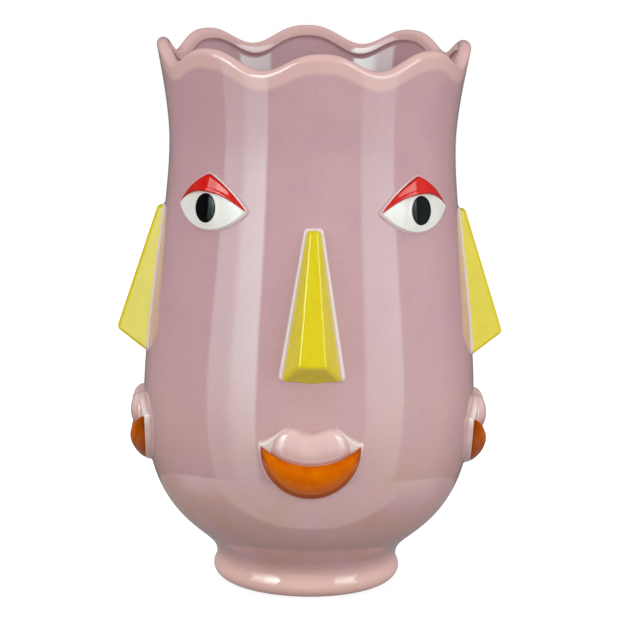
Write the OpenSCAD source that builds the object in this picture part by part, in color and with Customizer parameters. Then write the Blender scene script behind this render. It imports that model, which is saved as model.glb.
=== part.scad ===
// Glazed earthenware flower pot with four stylised faces around it.
// The four faces share four eyes: a nose and a mouth sit every quarter turn, and an eye
// sits about halfway between two noses. All sizes are in millimetres.
// The pot stands on z = 0, its axis is +Z, and the front face looks along -Y.

/* [Pot body] */
// Height from the table to the top of a scallop
pot_h = 278; // [270:1:294]
// Thickness of the wall
wall_t = 5; // [4:0.5:6]
// Thickness of the floor
floor_t = 6; // [4:0.5:9]
// Outer radius at the neck, where the body stands on its foot
neck_r = 46.2; // [43:0.2:50]
// Outer radius at the widest point of the belly
belly_r = 84.5; // [80:0.5:90]
// Height of the widest point of the belly
belly_z = 97; // [88:1:104]
// Outer radius at the waist, under the flared rim
waist_r = 72.2; // [69:0.2:76]
// Height of the waist
waist_z = 226; // [218:1:232]
// Outer radius at the top of a scallop
rim_r = 79.4; // [76:0.2:84]

/* [Foot ring] */
// Height of the foot ring
foot_h = 12; // [10:0.5:16]
// Outer radius at the roundest part of the foot
foot_r = 47.8; // [46.6:0.2:52]
// Height of the roundest part of the foot
foot_bulge_z = 6; // [4:0.5:8]
// Outer radius of the band that touches the table
foot_rest_r = 41.4; // [39:0.2:44]
// Radius of the hollow under the foot
foot_bore_r = 34; // [30:0.5:37]

/* [Scalloped rim] */
// Number of scallops, two for each quarter turn
scallops = 8; // [4:4:12]
// Height from the bottom of a dip to the top of a scallop
scallop_h = 9; // [5:0.5:12]
// Broadness of the scallops: 1 is an even wave, and more makes narrower dips
scallop_broadness = 1.3; // [1:0.1:2]
// Thickness of the rounded lip
lip_t = 6.2; // [6:0.2:8]
// Height of the lip from its seat to its crest
lip_h = 6.2; // [5.6:0.1:9]
// Height from the body's cut edge to the top of a scallop
collar_h = 26; // [24:1:32]
// Turn of the scallops against the faces, in degrees
rim_turn = 1.9; // [0:0.1:5]

/* [Nose] */
// Height of the top of a nose
nose_top_z = 193; // [188:1:198]
// Height of the bottom of a nose
nose_bottom_z = 120.5; // [116:0.5:126]
// Height of the nose's tip above its bottom
nose_tip_rise = 9.8; // [7:0.2:16]
// How far the tip stands out from the pot's wall
nose_reach = 15.7; // [10:0.1:20]
// How far the top of the nose stands out from the wall
nose_top_reach = 3.5; // [3:0.1:8]
// Width at the top of the nose
nose_top_w = 6; // [4.6:0.2:10]
// Width at the bottom of the nose
nose_bottom_w = 27.6; // [22:0.2:34]
// How far the nose's bottom edge bows down in the middle
nose_bottom_bow = 0.8; // [0:0.1:1.5]
// Width of the flat front at the top
bridge_top_w = 4.4; // [2:0.2:4.6]
// Width of the flat front at the tip
bridge_tip_w = 14.2; // [8:0.2:18]

/* [Eye] */
// Turn of each eye from halfway between two noses towards the front or the back, in degrees
eye_toe = 1.2; // [0:0.1:3]
// Height of the two corners of an eye
eye_z = 200; // [196:0.5:204]
// Width of an eye from corner to corner
eye_w = 45.2; // [40:0.2:48]
// Depth of the eye's round underside below its corners
eye_drop = 10.4; // [8:0.1:14]
// Height of the eyelid's peak above the corners
lid_rise = 17; // [14:0.2:18]
// Height of the eyelid's lower edge above the corners
lid_edge_rise = 8; // [6:0.2:9.4]
// Radius of each upper edge of the eyelid
lid_side_r = 60; // [50:5:200]
// How far the eyelid's ridge stands out at its lower edge
lid_reach = 5.2; // [4.4:0.1:7]
// How far the eyelid's peak stands out
lid_peak_reach = 2.4; // [1.8:0.1:4]
// How far the eyeball's crown stands out from the wall
eyeball_reach = 2.8; // [2.5:0.1:3.6]
// Radius of the eyeball's dome
eyeball_r = 56; // [54:1:64]
// Diameter of the pupil
pupil_d = 14; // [10:0.2:15]
// Gap between the pupil and the eyelid's edge
pupil_gap = 0.8; // [0.2:0.1:2]
// Depth of the socket that the pupil fills
pupil_socket = 1; // [0.6:0.1:1.4]
// How far the pupil's glaze stands above the eyeball
pupil_crown = 0.3; // [0.1:0.1:0.6]

/* [Mouth] */
// Width of the mouth from tip to tip
mouth_w = 48.8; // [42:0.2:54]
// Height of the mouth's two tips
mouth_tip_z = 88.6; // [84:0.2:94]
// Depth of the lower lip's round underside below the tips
chin_drop = 26.8; // [20:0.2:32]
// Depth of the line between the lips below the tips
smile_drop = 9; // [5:0.2:12]
// Width of the upper lip
upper_lip_w = 38.4; // [34:0.2:41]
// Height of the upper lip at its two bows
upper_lip_h = 17.8; // [15:0.2:21]
// Depth of the dip between the bows
bow_dip = 2.6; // [1:0.2:4]
// How far the upper lip stands out from the wall
upper_lip_reach = 7; // [5.5:0.1:9]
// How far the lower lip stands out from the wall
lower_lip_reach = 8.6; // [6:0.1:10]
// Width of the groove between the lips
lip_groove = 0.6; // [0.4:0.1:1]

/* [Pads and joints] */
// Thickness of the clay pad that carries a nose
nose_pad_t = 0.8; // [0.7:0.1:1.6]
// Thickness of the clay pad that carries an eye
eye_pad_t = 0.8; // [0.6:0.1:1]
// Thickness of the clay pad that carries a mouth
mouth_pad_t = 2.6; // [1.4:0.1:3.4]
// Width of the skirt around a nose at its sides
nose_skirt_w = 2.2; // [1:0.1:3.4]
// Width of the skirt above and below a nose
nose_skirt_h = 1; // [0.6:0.1:2]
// Width of the pad that shows around an eye
eye_pad_margin = 0.8; // [0.6:0.1:2]
// Width of the pad that shows around a mouth
mouth_pad_margin = 0.8; // [0.5:0.1:2]
// Thickness of the slip between two luted curved faces
slip_gap = 0.1; // [0.05:0.05:0.2]

/* [Hidden] */
$fn = 96;
// Number of facets round the wall and the eyeballs, whose thin pieces need true curves
fine_facets = 192;
sides = ["front", "right", "back", "left"];
corners = ["front_right", "back_right", "back_left", "front_left"];
side_parts = ["nose_pad", "nose", "mouth_pad", "upper_lip", "lower_lip"];
corner_parts = ["eye_pad", "eyeball", "pupil", "eyelid"];
quarter_turn = 360 / len(sides);

// Glaze colours
mauve_glaze = [0.78, 0.64, 0.67];
pale_glaze = [0.86, 0.71, 0.69];
white_glaze = [0.93, 0.93, 0.91];
yellow_glaze = [0.88, 0.83, 0.10];
red_glaze = [0.84, 0.12, 0.09];
black_glaze = [0.04, 0.04, 0.04];
orange_glaze = [0.83, 0.42, 0.02];

// Length of each Bezier handle as a share of its curve's height
neck_handle_share = 0.22;
belly_under_share = 0.84;
belly_over_share = 0.31;
waist_under_share = 0.29;
waist_over_share = 0.32;
rim_under_share = 0.26;
// Sideways lean of the rim's handle as a share of its length
rim_lean_share = 0.19;
foot_rest_handle_share = 0.55;
foot_bulge_handle_share = 0.5;
// Number of straight steps in one curve of the profile
profile_steps = 12;
flare_steps = 8;
// Number of straight steps in one scallop, in the collar's height and round the lip
wave_steps = 12;
collar_steps = 3;
lip_steps = 8;
// Number of straight steps in an eyelid's half width
lid_steps = 8;
// Number of straight steps across and behind one lip of a mouth, and along it
lip_front_steps = 8;
lip_back_steps = 4;
lip_stations = 24;
// Where a lip of a mouth stands out most, as a share of the way up its section
upper_crown_share = 0.42;
lower_crown_share = 0.6;

// Where the collar of the rim is luted to the body
seam_z = pot_h - collar_h;
floor_z = foot_h + floor_t;
// Length of a prism that starts at the axis and passes through the wall and all that stands on it
trim_reach = belly_r + rim_r;
// A point on a cubic Bezier curve, and the direction of the curve there
function bezier(p, t) =
    pow(1 - t, 3) * p[0] + 3 * pow(1 - t, 2) * t * p[1]
    + 3 * (1 - t) * pow(t, 2) * p[2] + pow(t, 3) * p[3];
function bezier_slope(p, t) =
    pow(1 - t, 2) * (p[1] - p[0]) + 2 * (1 - t) * t * (p[2] - p[1])
    + pow(t, 2) * (p[3] - p[2]);

// The curve pushed sideways by d, outwards where d is positive
function bezier_offset(p, t, d) =
    let (s = bezier_slope(p, t))
    bezier(p, t) + d / norm(s) * [s.y, -s.x];

belly_span = belly_z - foot_h;
side_span = waist_z - belly_z;
flare_span = pot_h - waist_z;
belly_curve = [
    [neck_r, foot_h],
    [neck_r, foot_h + neck_handle_share * belly_span],
    [belly_r, belly_z - belly_under_share * belly_span],
    [belly_r, belly_z]
];
side_curve = [
    [belly_r, belly_z],
    [belly_r, belly_z + belly_over_share * side_span],
    [waist_r, waist_z - waist_under_share * side_span],
    [waist_r, waist_z]
];
flare_curve = [
    [waist_r, waist_z],
    [waist_r, waist_z + waist_over_share * flare_span],
    [rim_r - rim_lean_share * rim_under_share * flare_span, pot_h - rim_under_share * flare_span],
    [rim_r, pot_h]
];

// The outside of the wall from neck to rim, pushed outwards by d
function wall_line(d) = concat(
    [for (i = [0 : profile_steps - 1]) bezier_offset(belly_curve, i / profile_steps, d)],
    [for (i = [0 : profile_steps - 1]) bezier_offset(side_curve, i / profile_steps, d)],
    [for (i = [0 : flare_steps]) bezier_offset(flare_curve, i / flare_steps, d)]
);

// Radius of such a line at height z
function line_table(line) = [for (p = line) [p.y, p.x]];
outer_table = line_table(wall_line(0));
inner_table = line_table(wall_line(-wall_t));
function wall_r(z) = lookup(z, outer_table);
function inside_r(z) = lookup(z, inner_table);

// Depth of a surface of radius r at a distance u beside the middle of a feature
function round_y(r, u) = sqrt(pow(r, 2) - pow(u, 2));

// Everything inside the wall's outer face pushed outwards by d
module wall_solid(d) {
    line = wall_line(d);
    rotate_extrude($fn = fine_facets)
        polygon(concat([[0, line[0].y]], line, [[0, line[len(line) - 1].y]]));
}

// A flat outline drawn in front view and driven outwards from the axis
module outwards(reach) {
    rotate([90, 0, 0])
        linear_extrude(reach)
            children();
}

// A slab that follows the wall, with the outline of its children
module wall_slab(thickness) {
    intersection() {
        outwards(trim_reach)
            children();
        difference() {
            wall_solid(thickness);
            wall_solid(slip_gap);
        }
    }
}

// Turned body with its floor, cut flat where the rim's collar is luted on
module pot_body() {
    outer = [for (p = wall_line(0)) if (p.y < seam_z) p];
    inner = [for (p = wall_line(-wall_t)) if (p.y > floor_z && p.y < seam_z) p];
    color(mauve_glaze)
        rotate_extrude()
            polygon(concat(
                [[0, foot_h]],
                outer,
                [[wall_r(seam_z), seam_z], [inside_r(seam_z), seam_z]],
                [for (i = [len(inner) - 1 : -1 : 0]) inner[i]],
                [[inside_r(floor_z), floor_z], [0, floor_z]]
            ));
}

// Foot ring, luted under the body, with a rounded outside and a hollow centre
module foot_ring() {
    under_curve = [
        [foot_rest_r, 0],
        [foot_rest_r + foot_rest_handle_share * (foot_r - foot_rest_r), 0],
        [foot_r, foot_bulge_z * (1 - foot_bulge_handle_share)],
        [foot_r, foot_bulge_z]
    ];
    over_rise = foot_h - foot_bulge_z;
    over_curve = [
        [foot_r, foot_bulge_z],
        [foot_r, foot_bulge_z + foot_bulge_handle_share * over_rise],
        [neck_r, foot_h - foot_bulge_handle_share * over_rise],
        [neck_r, foot_h]
    ];
    color(pale_glaze)
        rotate_extrude()
            polygon(concat(
                [[foot_bore_r, 0]],
                [for (i = [0 : flare_steps - 1]) bezier(under_curve, i / flare_steps)],
                [for (i = [0 : flare_steps]) bezier(over_curve, i / flare_steps)],
                [[foot_bore_r, foot_h]]
            ));
}

// Skin of a solid from closed sections of equal length, where the last section meets the first
module closed_loft(sections) {
    n = len(sections);
    m = len(sections[0]);
    polyhedron(
        points = [for (section = sections, p = section) p],
        faces = [
            for (i = [0 : n - 1], j = [0 : m - 1])
                let (
                    a = i * m + j,
                    b = i * m + (j + 1) % m,
                    c = ((i + 1) % n) * m + (j + 1) % m,
                    d = ((i + 1) % n) * m + j
                )
                each [[a, b, c], [a, c, d]]
        ]
    );
}

// Skin of a solid from closed sections that shrink to a point at both ends
module pointed_loft(start, sections, end) {
    n = len(sections);
    m = len(sections[0]);
    polyhedron(
        points = concat([start, end], [for (section = sections, p = section) p]),
        faces = concat(
            [for (j = [0 : m - 1]) [0, 2 + (j + 1) % m, 2 + j]],
            [
                for (i = [0 : n - 2], j = [0 : m - 1])
                    let (
                        a = 2 + i * m + j,
                        b = 2 + i * m + (j + 1) % m,
                        c = a + m,
                        d = b + m
                    )
                    each [[a, b, d], [a, d, c]]
            ],
            [for (j = [0 : m - 1]) [1, 2 + (n - 1) * m + j, 2 + (n - 1) * m + (j + 1) % m]]
        )
    );
}

// Height of the lip's crest, and of the seat that the lip is luted on, at an angle around the pot
function crest_z(a) = pot_h - scallop_h * pow((1 - cos(scallops * a)) / 2, scallop_broadness);
function lip_seat_z(a) = crest_z(a) - lip_h;

// A ring whose section changes with the angle around the pot
module wavy_ring(section) {
    stations = scallops * wave_steps;
    rotate([0, 0, rim_turn])
        closed_loft([
            for (i = [0 : stations - 1])
                let (a = 360 * i / stations)
                [for (p = section(a)) [p.x * sin(a), -p.x * cos(a), p.y]]
        ]);
}

// Flared collar between the body and the lip, with a wavy upper edge
module scalloped_collar() {
    section = function (a)
        let (heights = [for (i = [0 : collar_steps])
            seam_z + i / collar_steps * (lip_seat_z(a) - seam_z)])
        concat(
            [for (z = heights) [wall_r(z), z]],
            [for (i = [collar_steps : -1 : 0]) [inside_r(heights[i]), heights[i]]]
        );
    color(mauve_glaze)
        wavy_ring(section);
}

// Thick rounded lip that follows the scallops and hangs over the inside of the wall
module rim_lip() {
    r = lip_t / 2;
    lean = atan(rim_lean_share);
    normal = [cos(lean), -sin(lean)];
    along = [sin(lean), cos(lean)];
    section = function (a)
        let (
            side_z = crest_z(a) - r * (1 + sin(lean)),
            middle = [wall_r(side_z), side_z] - r * normal,
            seat_z = lip_seat_z(a) + slip_gap
        )
        concat(
            [[wall_r(seat_z), seat_z]],
            [for (i = [0 : lip_steps])
                middle + r * (cos(180 * i / lip_steps) * normal + sin(180 * i / lip_steps) * along)],
            [[wall_r(seat_z) - lip_t, seat_z]]
        );
    color(pale_glaze)
        wavy_ring(section);
}

// Solid between two closed rows of points, counted clockwise in front view
module block(inner_row, outer_row) {
    m = len(inner_row);
    polyhedron(
        points = concat(inner_row, outer_row),
        faces = concat(
            [[for (j = [m - 1 : -1 : 0]) j], [for (j = [0 : m - 1]) m + j]],
            [for (j = [0 : m - 1]) each [
                [j, m + (j + 1) % m, m + j],
                [j, (j + 1) % m, m + (j + 1) % m]
            ]]
        )
    );
}

// A half solid and its mirror image
module both_halves() {
    children();
    mirror([1, 0, 0])
        children();
}

// The same point on a line from p through q, as far again beyond q
function beyond(p, q) = 2 * q - p;

// Right half of a face that widens from top to bottom and stands d outside the wall
function half_face(d, top_w, bottom_w, top_z, bottom_z) = [
    for (p = [[0, top_z], [top_w / 2, top_z], [bottom_w / 2, bottom_z], [0, bottom_z - nose_bottom_bow]])
        [p.x, -round_y(wall_r(p.y) + d, p.x), p.y]
];

// Low pad under a nose, whose skirt slopes out to the wall all round
module nose_pad() {
    face = half_face(
        nose_pad_t, nose_top_w + nose_skirt_h, nose_bottom_w + nose_skirt_h,
        nose_top_z + nose_skirt_h / 2, nose_bottom_z - nose_skirt_h / 2
    );
    foot = half_face(
        slip_gap, nose_top_w + nose_skirt_h + nose_skirt_w, nose_bottom_w + nose_skirt_h + 2 * nose_skirt_w,
        nose_top_z + nose_skirt_h, nose_bottom_z - nose_skirt_h
    );
    corners = [0 : len(face) - 1];
    color(pale_glaze)
        intersection() {
            both_halves()
                block(
                    [for (i = corners) beyond(face[i], foot[i])],
                    [for (i = corners) beyond(foot[i], face[i])]
                );
            difference() {
                wall_solid(nose_pad_t);
                wall_solid(slip_gap);
            }
        }
}

// Faceted nose: a long flat bridge, two slanting cheeks and a slanting underside
module nose() {
    tip_z = nose_bottom_z + nose_tip_rise;
    bridge_top_y = -wall_r(nose_top_z) - nose_top_reach;
    bridge_tip_y = -wall_r(tip_z) - nose_reach;
    bridge = [
        [0, bridge_top_y, nose_top_z],
        [bridge_top_w / 2, bridge_top_y, nose_top_z],
        [bridge_tip_w / 2, bridge_tip_y, tip_z],
        [0, bridge_tip_y, tip_z]
    ];
    base = half_face(nose_pad_t, nose_top_w, nose_bottom_w, nose_top_z, nose_bottom_z);
    color(yellow_glaze)
        difference() {
            both_halves()
                block([for (i = [0 : len(base) - 1]) beyond(bridge[i], base[i])], bridge);
            wall_solid(nose_pad_t + slip_gap);
        }
}

// Radius of a circle through both ends of a line and a point that is drop off its middle
function arc_r(width, drop) = (pow(width / 2, 2) + pow(drop, 2)) / (2 * drop);

under_eye_r = arc_r(eye_w, eye_drop);
lid_edge_r = arc_r(eye_w, lid_edge_rise);
pupil_z = eye_z + lid_edge_rise - pupil_gap - pupil_d / 2;

// The eyelid's left upper edge is an arc of this circle
lid_chord = [eye_w / 2, lid_rise];
lid_side_depth = sqrt(pow(lid_side_r, 2) - pow(norm(lid_chord) / 2, 2));
lid_side_centre = [-eye_w / 4, eye_z + lid_rise / 2]
    + lid_side_depth / norm(lid_chord) * [lid_chord.y, -lid_chord.x];

// Height of the eyelid's lower edge and of its upper edge at a distance u beside the peak
function lid_low_z(u) = eye_z + lid_edge_rise - lid_edge_r + sqrt(pow(lid_edge_r, 2) - pow(u, 2));
function lid_high_z(u) = lid_side_centre.y + sqrt(pow(lid_side_r, 2) - pow(abs(u) + lid_side_centre.x, 2));

module under_eye() {
    translate([0, eye_z - eye_drop + under_eye_r])
        circle(under_eye_r);
}

module below_lid_edge() {
    translate([0, eye_z + lid_edge_rise - lid_edge_r])
        circle(lid_edge_r);
}

// The pointed arch over an eye: two circles that cross at the peak
module lid_arch() {
    intersection_for(side = [-1, 1])
        translate([side * lid_side_centre.x, lid_side_centre.y])
            circle(lid_side_r);
}

module eye_pad() {
    color(pale_glaze)
        wall_slab(eye_pad_t)
            offset(r = eye_pad_margin)
                intersection() {
                    under_eye();
                    lid_arch();
                }
}

// The dome of the eyeball, which leans back with the wall, pushed outwards by d
eye_lean = atan((wall_r(eye_z - eye_drop) - wall_r(eye_z + eye_drop)) / (2 * eye_drop));
module eye_dome(d) {
    crown_y = -wall_r(eye_z) - eyeball_reach;
    translate([0, crown_y + eyeball_r * cos(eye_lean), eye_z - eyeball_r * sin(eye_lean)])
        sphere(eyeball_r + d, $fn = fine_facets);
}

module pupil_bore(r) {
    outwards(trim_reach)
        translate([0, pupil_z])
            circle(r);
}

module eyeball() {
    color(white_glaze)
        difference() {
            intersection() {
                outwards(trim_reach)
                    intersection() {
                        under_eye();
                        below_lid_edge();
                    }
                eye_dome(0);
            }
            wall_solid(eye_pad_t + slip_gap);
            difference() {
                pupil_bore(pupil_d / 2 + slip_gap);
                eye_dome(-pupil_socket);
            }
        }
}

// Round pupil, set in its socket in the eyeball
module pupil() {
    color(black_glaze)
        difference() {
            intersection() {
                pupil_bore(pupil_d / 2);
                eye_dome(pupil_crown);
            }
            eye_dome(slip_gap - pupil_socket);
        }
}

// A point of an outline in front view, raised out from the wall by the pad under it and more
function on_pad(p, pad_t, out) =
    [p.x, -round_y(wall_r(p.y) + pad_t + slip_gap, p.x) - out, p.y];

// Eyelid: two facets that meet in a ridge, stand over the eyeball and thin out to the corners
module eyelid() {
    half = eye_w / 2;
    section = function (u)
        let (
            fall = 1 - abs(u) / half,
            low = [u, lid_low_z(u) + slip_gap],
            high = [u, lid_high_z(u)]
        )
        [
            on_pad(low, eye_pad_t, 0),
            on_pad(low, eye_pad_t, fall * (lid_reach - eye_pad_t)),
            on_pad(high, eye_pad_t, fall * (lid_peak_reach - eye_pad_t)),
            on_pad(high, eye_pad_t, 0)
        ];
    color(red_glaze)
        pointed_loft(
            on_pad([-half, eye_z], eye_pad_t, 0),
            [for (i = [1 - lid_steps : lid_steps - 1]) section(half * i / lid_steps)],
            on_pad([half, eye_z], eye_pad_t, 0)
        );
}

// Two arcs through the mouth's tips: the round underside, and the line between the lips
function arc_half_angle(width, drop) = 2 * atan(2 * drop / width);
function mouth_arc(drop, s) =
    let (r = arc_r(mouth_w, drop), a = s * arc_half_angle(mouth_w, drop))
    [r * sin(a), mouth_tip_z - drop + r * (1 - cos(a))];
function chin_point(s) = mouth_arc(chin_drop, s);
function smile_point(s) = mouth_arc(smile_drop, s);
function smile_z(u) =
    let (r = arc_r(mouth_w, smile_drop))
    mouth_tip_z - smile_drop + r - sqrt(pow(r, 2) - pow(u, 2));

// Top edge of the upper lip: two bows with a dip between them and round ends
bow_z = mouth_tip_z - smile_drop + upper_lip_h;
bow_u = upper_lip_w / 4;
lip_end_z = smile_z(upper_lip_w / 2) + lip_groove;
function bow_edge_z(u) =
    abs(u) < bow_u
        ? bow_z - bow_dip * (1 + cos(180 * abs(u) / bow_u)) / 2
        : lip_end_z + (bow_z - lip_end_z) * sqrt(max(0, 1 - pow(abs(u) / bow_u - 1, 2)));

// The pad's line above the lips: over the bows, and then in a slope down to the mouth's tips
function over_lips_z(u) =
    abs(u) < bow_u
        ? bow_edge_z(u)
        : mouth_tip_z + (bow_z - mouth_tip_z) * (1 + cos(180 * (abs(u) - bow_u) / (mouth_w / 2 - bow_u))) / 2;

// Closed section of a lip between two points of its outline: a half round on a flat back
lip_shares = [for (i = [0 : lip_stations]) -cos(180 * i / lip_stations)];
function lip_section(low, high, reach, crown_share, s) =
    let (crown = (reach - mouth_pad_t - slip_gap) * sqrt(1 - pow(s, 4)))
    concat(
        [for (i = [0 : lip_front_steps])
            let (
                a = 180 * i / lip_front_steps,
                rise_share = pow((1 - cos(a)) / 2, ln(crown_share) / ln(0.5))
            )
            on_pad(low + rise_share * (high - low), mouth_pad_t, crown * sin(a))],
        [for (i = [1 : lip_back_steps - 1])
            on_pad(high + i / lip_back_steps * (low - high), mouth_pad_t, 0)]
    );

// Lower lip: a pointed crescent between the two arcs
module lower_lip() {
    color(orange_glaze)
        pointed_loft(
            on_pad(chin_point(-1), mouth_pad_t, 0),
            [for (i = [1 : lip_stations - 1])
                let (s = lip_shares[i])
                lip_section(chin_point(s), smile_point(s), lower_lip_reach, lower_crown_share, s)],
            on_pad(chin_point(1), mouth_pad_t, 0)
        );
}

// Upper lip: from the line between the lips up to the two bows
module upper_lip() {
    half = upper_lip_w / 2;
    color(pale_glaze)
        pointed_loft(
            on_pad([-half, lip_end_z], mouth_pad_t, 0),
            [for (i = [1 : lip_stations - 1])
                let (s = lip_shares[i], u = half * s)
                lip_section(
                    [u, smile_z(u) + lip_groove], [u, bow_edge_z(u)],
                    upper_lip_reach, upper_crown_share, s
                )],
            on_pad([half, lip_end_z], mouth_pad_t, 0)
        );
}

// Outline of the pad under both lips in front view
module mouth_pad_outline() {
    offset(r = mouth_pad_margin)
        polygon(concat(
            [for (s = lip_shares) chin_point(s)],
            [for (i = [1 : lip_stations - 1])
                let (u = -lip_shares[i] * mouth_w / 2)
                [u, over_lips_z(u)]]
        ));
}

module mouth_pad() {
    color(pale_glaze)
        wall_slab(mouth_pad_t)
            mouth_pad_outline();
}

// Turn of an eye around the pot, from the front face
function eye_turn(i) = quarter_turn * (i + 1 / 2) + (i % 2 == 0 ? -eye_toe : eye_toe);

pot_body();
foot_ring();
scalloped_collar();
rim_lip();
for (i = [0 : len(sides) - 1]) rotate([0, 0, quarter_turn * i]) {
    nose_pad();
    nose();
    mouth_pad();
    upper_lip();
    lower_lip();
}
for (i = [0 : len(corners) - 1]) rotate([0, 0, eye_turn(i)]) {
    eye_pad();
    eyeball();
    pupil();
    eyelid();
}
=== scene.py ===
# %% [markdown]
# # A glazed pot with four faces
# The pot is one piece of fired earthenware. A round wall is turned first, its
# wavy rim and rolled foot are luted on, and then noses, eyes and mouths are
# modelled apart and stuck to the wall with slip. A thick shiny glaze covers it.
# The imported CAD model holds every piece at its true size. This lesson gives
# each one its soft, glazed form and its finish, in the same place.

import math

import bmesh
import bpy
import numpy as np
from mathutils import Matrix, Vector


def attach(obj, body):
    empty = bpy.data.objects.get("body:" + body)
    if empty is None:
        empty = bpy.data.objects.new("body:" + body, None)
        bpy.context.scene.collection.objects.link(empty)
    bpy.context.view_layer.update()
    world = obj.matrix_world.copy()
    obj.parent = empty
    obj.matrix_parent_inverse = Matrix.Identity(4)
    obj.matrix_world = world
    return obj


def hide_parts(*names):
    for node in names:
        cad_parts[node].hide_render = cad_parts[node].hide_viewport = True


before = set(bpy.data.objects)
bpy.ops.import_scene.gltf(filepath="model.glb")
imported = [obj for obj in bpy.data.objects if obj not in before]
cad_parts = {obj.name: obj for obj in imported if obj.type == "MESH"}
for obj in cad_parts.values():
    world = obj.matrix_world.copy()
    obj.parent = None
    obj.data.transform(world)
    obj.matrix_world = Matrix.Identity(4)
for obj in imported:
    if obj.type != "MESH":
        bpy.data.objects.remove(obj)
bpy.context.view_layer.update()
print("CAD nodes:", len(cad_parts))

# %% [markdown]
# ## The wall's profile
# A potter thinks of a pot as one line that is turned round an axis. Here the
# line is three smooth curves: from the neck out to the belly, from the belly
# in to the waist, and from the waist out to the rim. All sizes are in
# millimetres, and everything that sits on the wall asks this line where it is.

# %% Wall profile in millimetres
MM = 0.001
FOOT_H, FLOOR_Z, POT_H = 12.0, 18.0, 278.0
NECK_R, BELLY_R, WAIST_R, RIM_R = 46.2, 84.5, 72.2, 79.4
BELLY_Z, WAIST_Z = 97.0, 226.0
WALL_T = 5.0
CURVE_POINTS = 120
# How far a curve stays upright at each of its ends, as a share of its height.
NECK_PULL, UNDER_BELLY_PULL, OVER_BELLY_PULL = 0.22, 0.84, 0.31
UNDER_WAIST_PULL, OVER_WAIST_PULL, RIM_PULL = 0.29, 0.32, 0.26
FLARE = 0.19  # at the rim the wall leans out by this much for each millimetre up


def bezier(points, steps):
    """Points along a cubic curve."""
    t = np.linspace(0, 1, steps)[:, None]
    a, b, c, d = np.array(points, float)
    return (1 - t) ** 3 * a + 3 * (1 - t) ** 2 * t * b + 3 * (1 - t) * t**2 * c + t**3 * d


def wall_curves():
    """The outside of the wall from neck to rim as (radius, height) points."""
    belly, side, flare = BELLY_Z - FOOT_H, WAIST_Z - BELLY_Z, POT_H - WAIST_Z
    curves = [
        [(NECK_R, FOOT_H), (NECK_R, FOOT_H + NECK_PULL * belly),
         (BELLY_R, BELLY_Z - UNDER_BELLY_PULL * belly), (BELLY_R, BELLY_Z)],
        [(BELLY_R, BELLY_Z), (BELLY_R, BELLY_Z + OVER_BELLY_PULL * side),
         (WAIST_R, WAIST_Z - UNDER_WAIST_PULL * side), (WAIST_R, WAIST_Z)],
        [(WAIST_R, WAIST_Z), (WAIST_R, WAIST_Z + OVER_WAIST_PULL * flare),
         (RIM_R - FLARE * RIM_PULL * flare, POT_H - RIM_PULL * flare), (RIM_R, POT_H)],
    ]
    low, middle, high = [bezier(curve, CURVE_POINTS) for curve in curves]
    return np.vstack([low[:-1], middle[:-1], high])


def pushed(line, distance):
    """A line moved sideways, outwards where distance is positive."""
    run = np.gradient(line, axis=0)
    run /= np.linalg.norm(run, axis=1)[:, None]
    return line + distance * np.stack([run[:, 1], -run[:, 0]], 1)


OUTER = wall_curves()
INNER = pushed(OUTER, -WALL_T)


def wall_r(z):
    """Outer radius of the wall at a height."""
    return np.interp(z, OUTER[:, 1], OUTER[:, 0])


print("wall radius at the belly and at the waist: %.1f and %.1f mm"
      % (wall_r(BELLY_Z), wall_r(WAIST_Z)))

# %% [markdown]
# ## Small tools
# Three helpers do the repeated work: one reads a colour as it is written for
# the web and turns it to the linear values that a shader wants, one adds a
# node with its settings and links, and one makes a mesh from its points.

# %% Helpers for colours, nodes and meshes
WELD_MM = 0.002  # points closer than this become one


def colour(code, alpha=1.0):
    """A web colour such as C8A2A9 as linear red, green, blue and alpha."""
    srgb = [int(code[i:i + 2], 16) / 255 for i in (0, 2, 4)]
    linear = [c / 12.92 if c <= 0.04045 else ((c + 0.055) / 1.055) ** 2.4 for c in srgb]
    return (*linear, alpha)


def add(tree, kind, inputs=None, **settings):
    """Adds a node, sets its properties, and links or sets its inputs."""
    node = tree.nodes.new(kind)
    for name, value in settings.items():
        setattr(node, name, value)
    for key, value in (inputs or {}).items():
        if isinstance(value, bpy.types.NodeSocket):
            tree.links.new(value, node.inputs[key])
        else:
            node.inputs[key].default_value = value
    return node


def mark_points(mesh, name, values):
    """Gives each point of a mesh a number that materials can read by name."""
    layer = mesh.attributes.new(name, "FLOAT", "POINT")
    layer.data.foreach_set("value", np.asarray(values, np.float32).ravel())


def closed_mesh(name, points, faces, **marks):
    """A smooth closed mesh from points in millimetres, with named values on its points."""
    mesh = bpy.data.meshes.new(name)
    mesh.from_pydata([tuple(p) for p in np.asarray(points) * MM], [], faces)
    for mark, values in marks.items():
        mark_points(mesh, mark, values)
    tidy = bmesh.new()
    tidy.from_mesh(mesh)
    bmesh.ops.remove_doubles(tidy, verts=tidy.verts, dist=WELD_MM * MM)
    bmesh.ops.recalc_face_normals(tidy, faces=tidy.faces)
    tidy.to_mesh(mesh)
    tidy.free()
    mesh.shade_smooth()
    return mesh


print("808080 is %.3f in linear light" % colour("808080")[0])

# %% [markdown]
# ## The body glaze
# Earthenware glaze is a layer of coloured glass about half a millimetre
# thick. It is very smooth, so it mirrors lamps sharply, and it flows while it
# melts: it thins and pales over edges and pools in hollows. A picture of it
# could be wrapped round the pot, but noise needs no seam and has detail at
# every size. So the glaze is a glossy coloured surface with a soft cloudy
# mottle, a finer grain and a faint ripple, and painted shade makes it darker
# and warmer under the belly. The meshes carry marks for where it breaks and
# pales; on the pads' rims these also paint highlights, and on the foot they
# also paint light. All these are layers of colour, mixed one over another.

# %% Build the body glaze
GLAZE_IOR = 1.55
GLOSSY, MATT_CLAY = 0.07, 0.85
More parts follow.
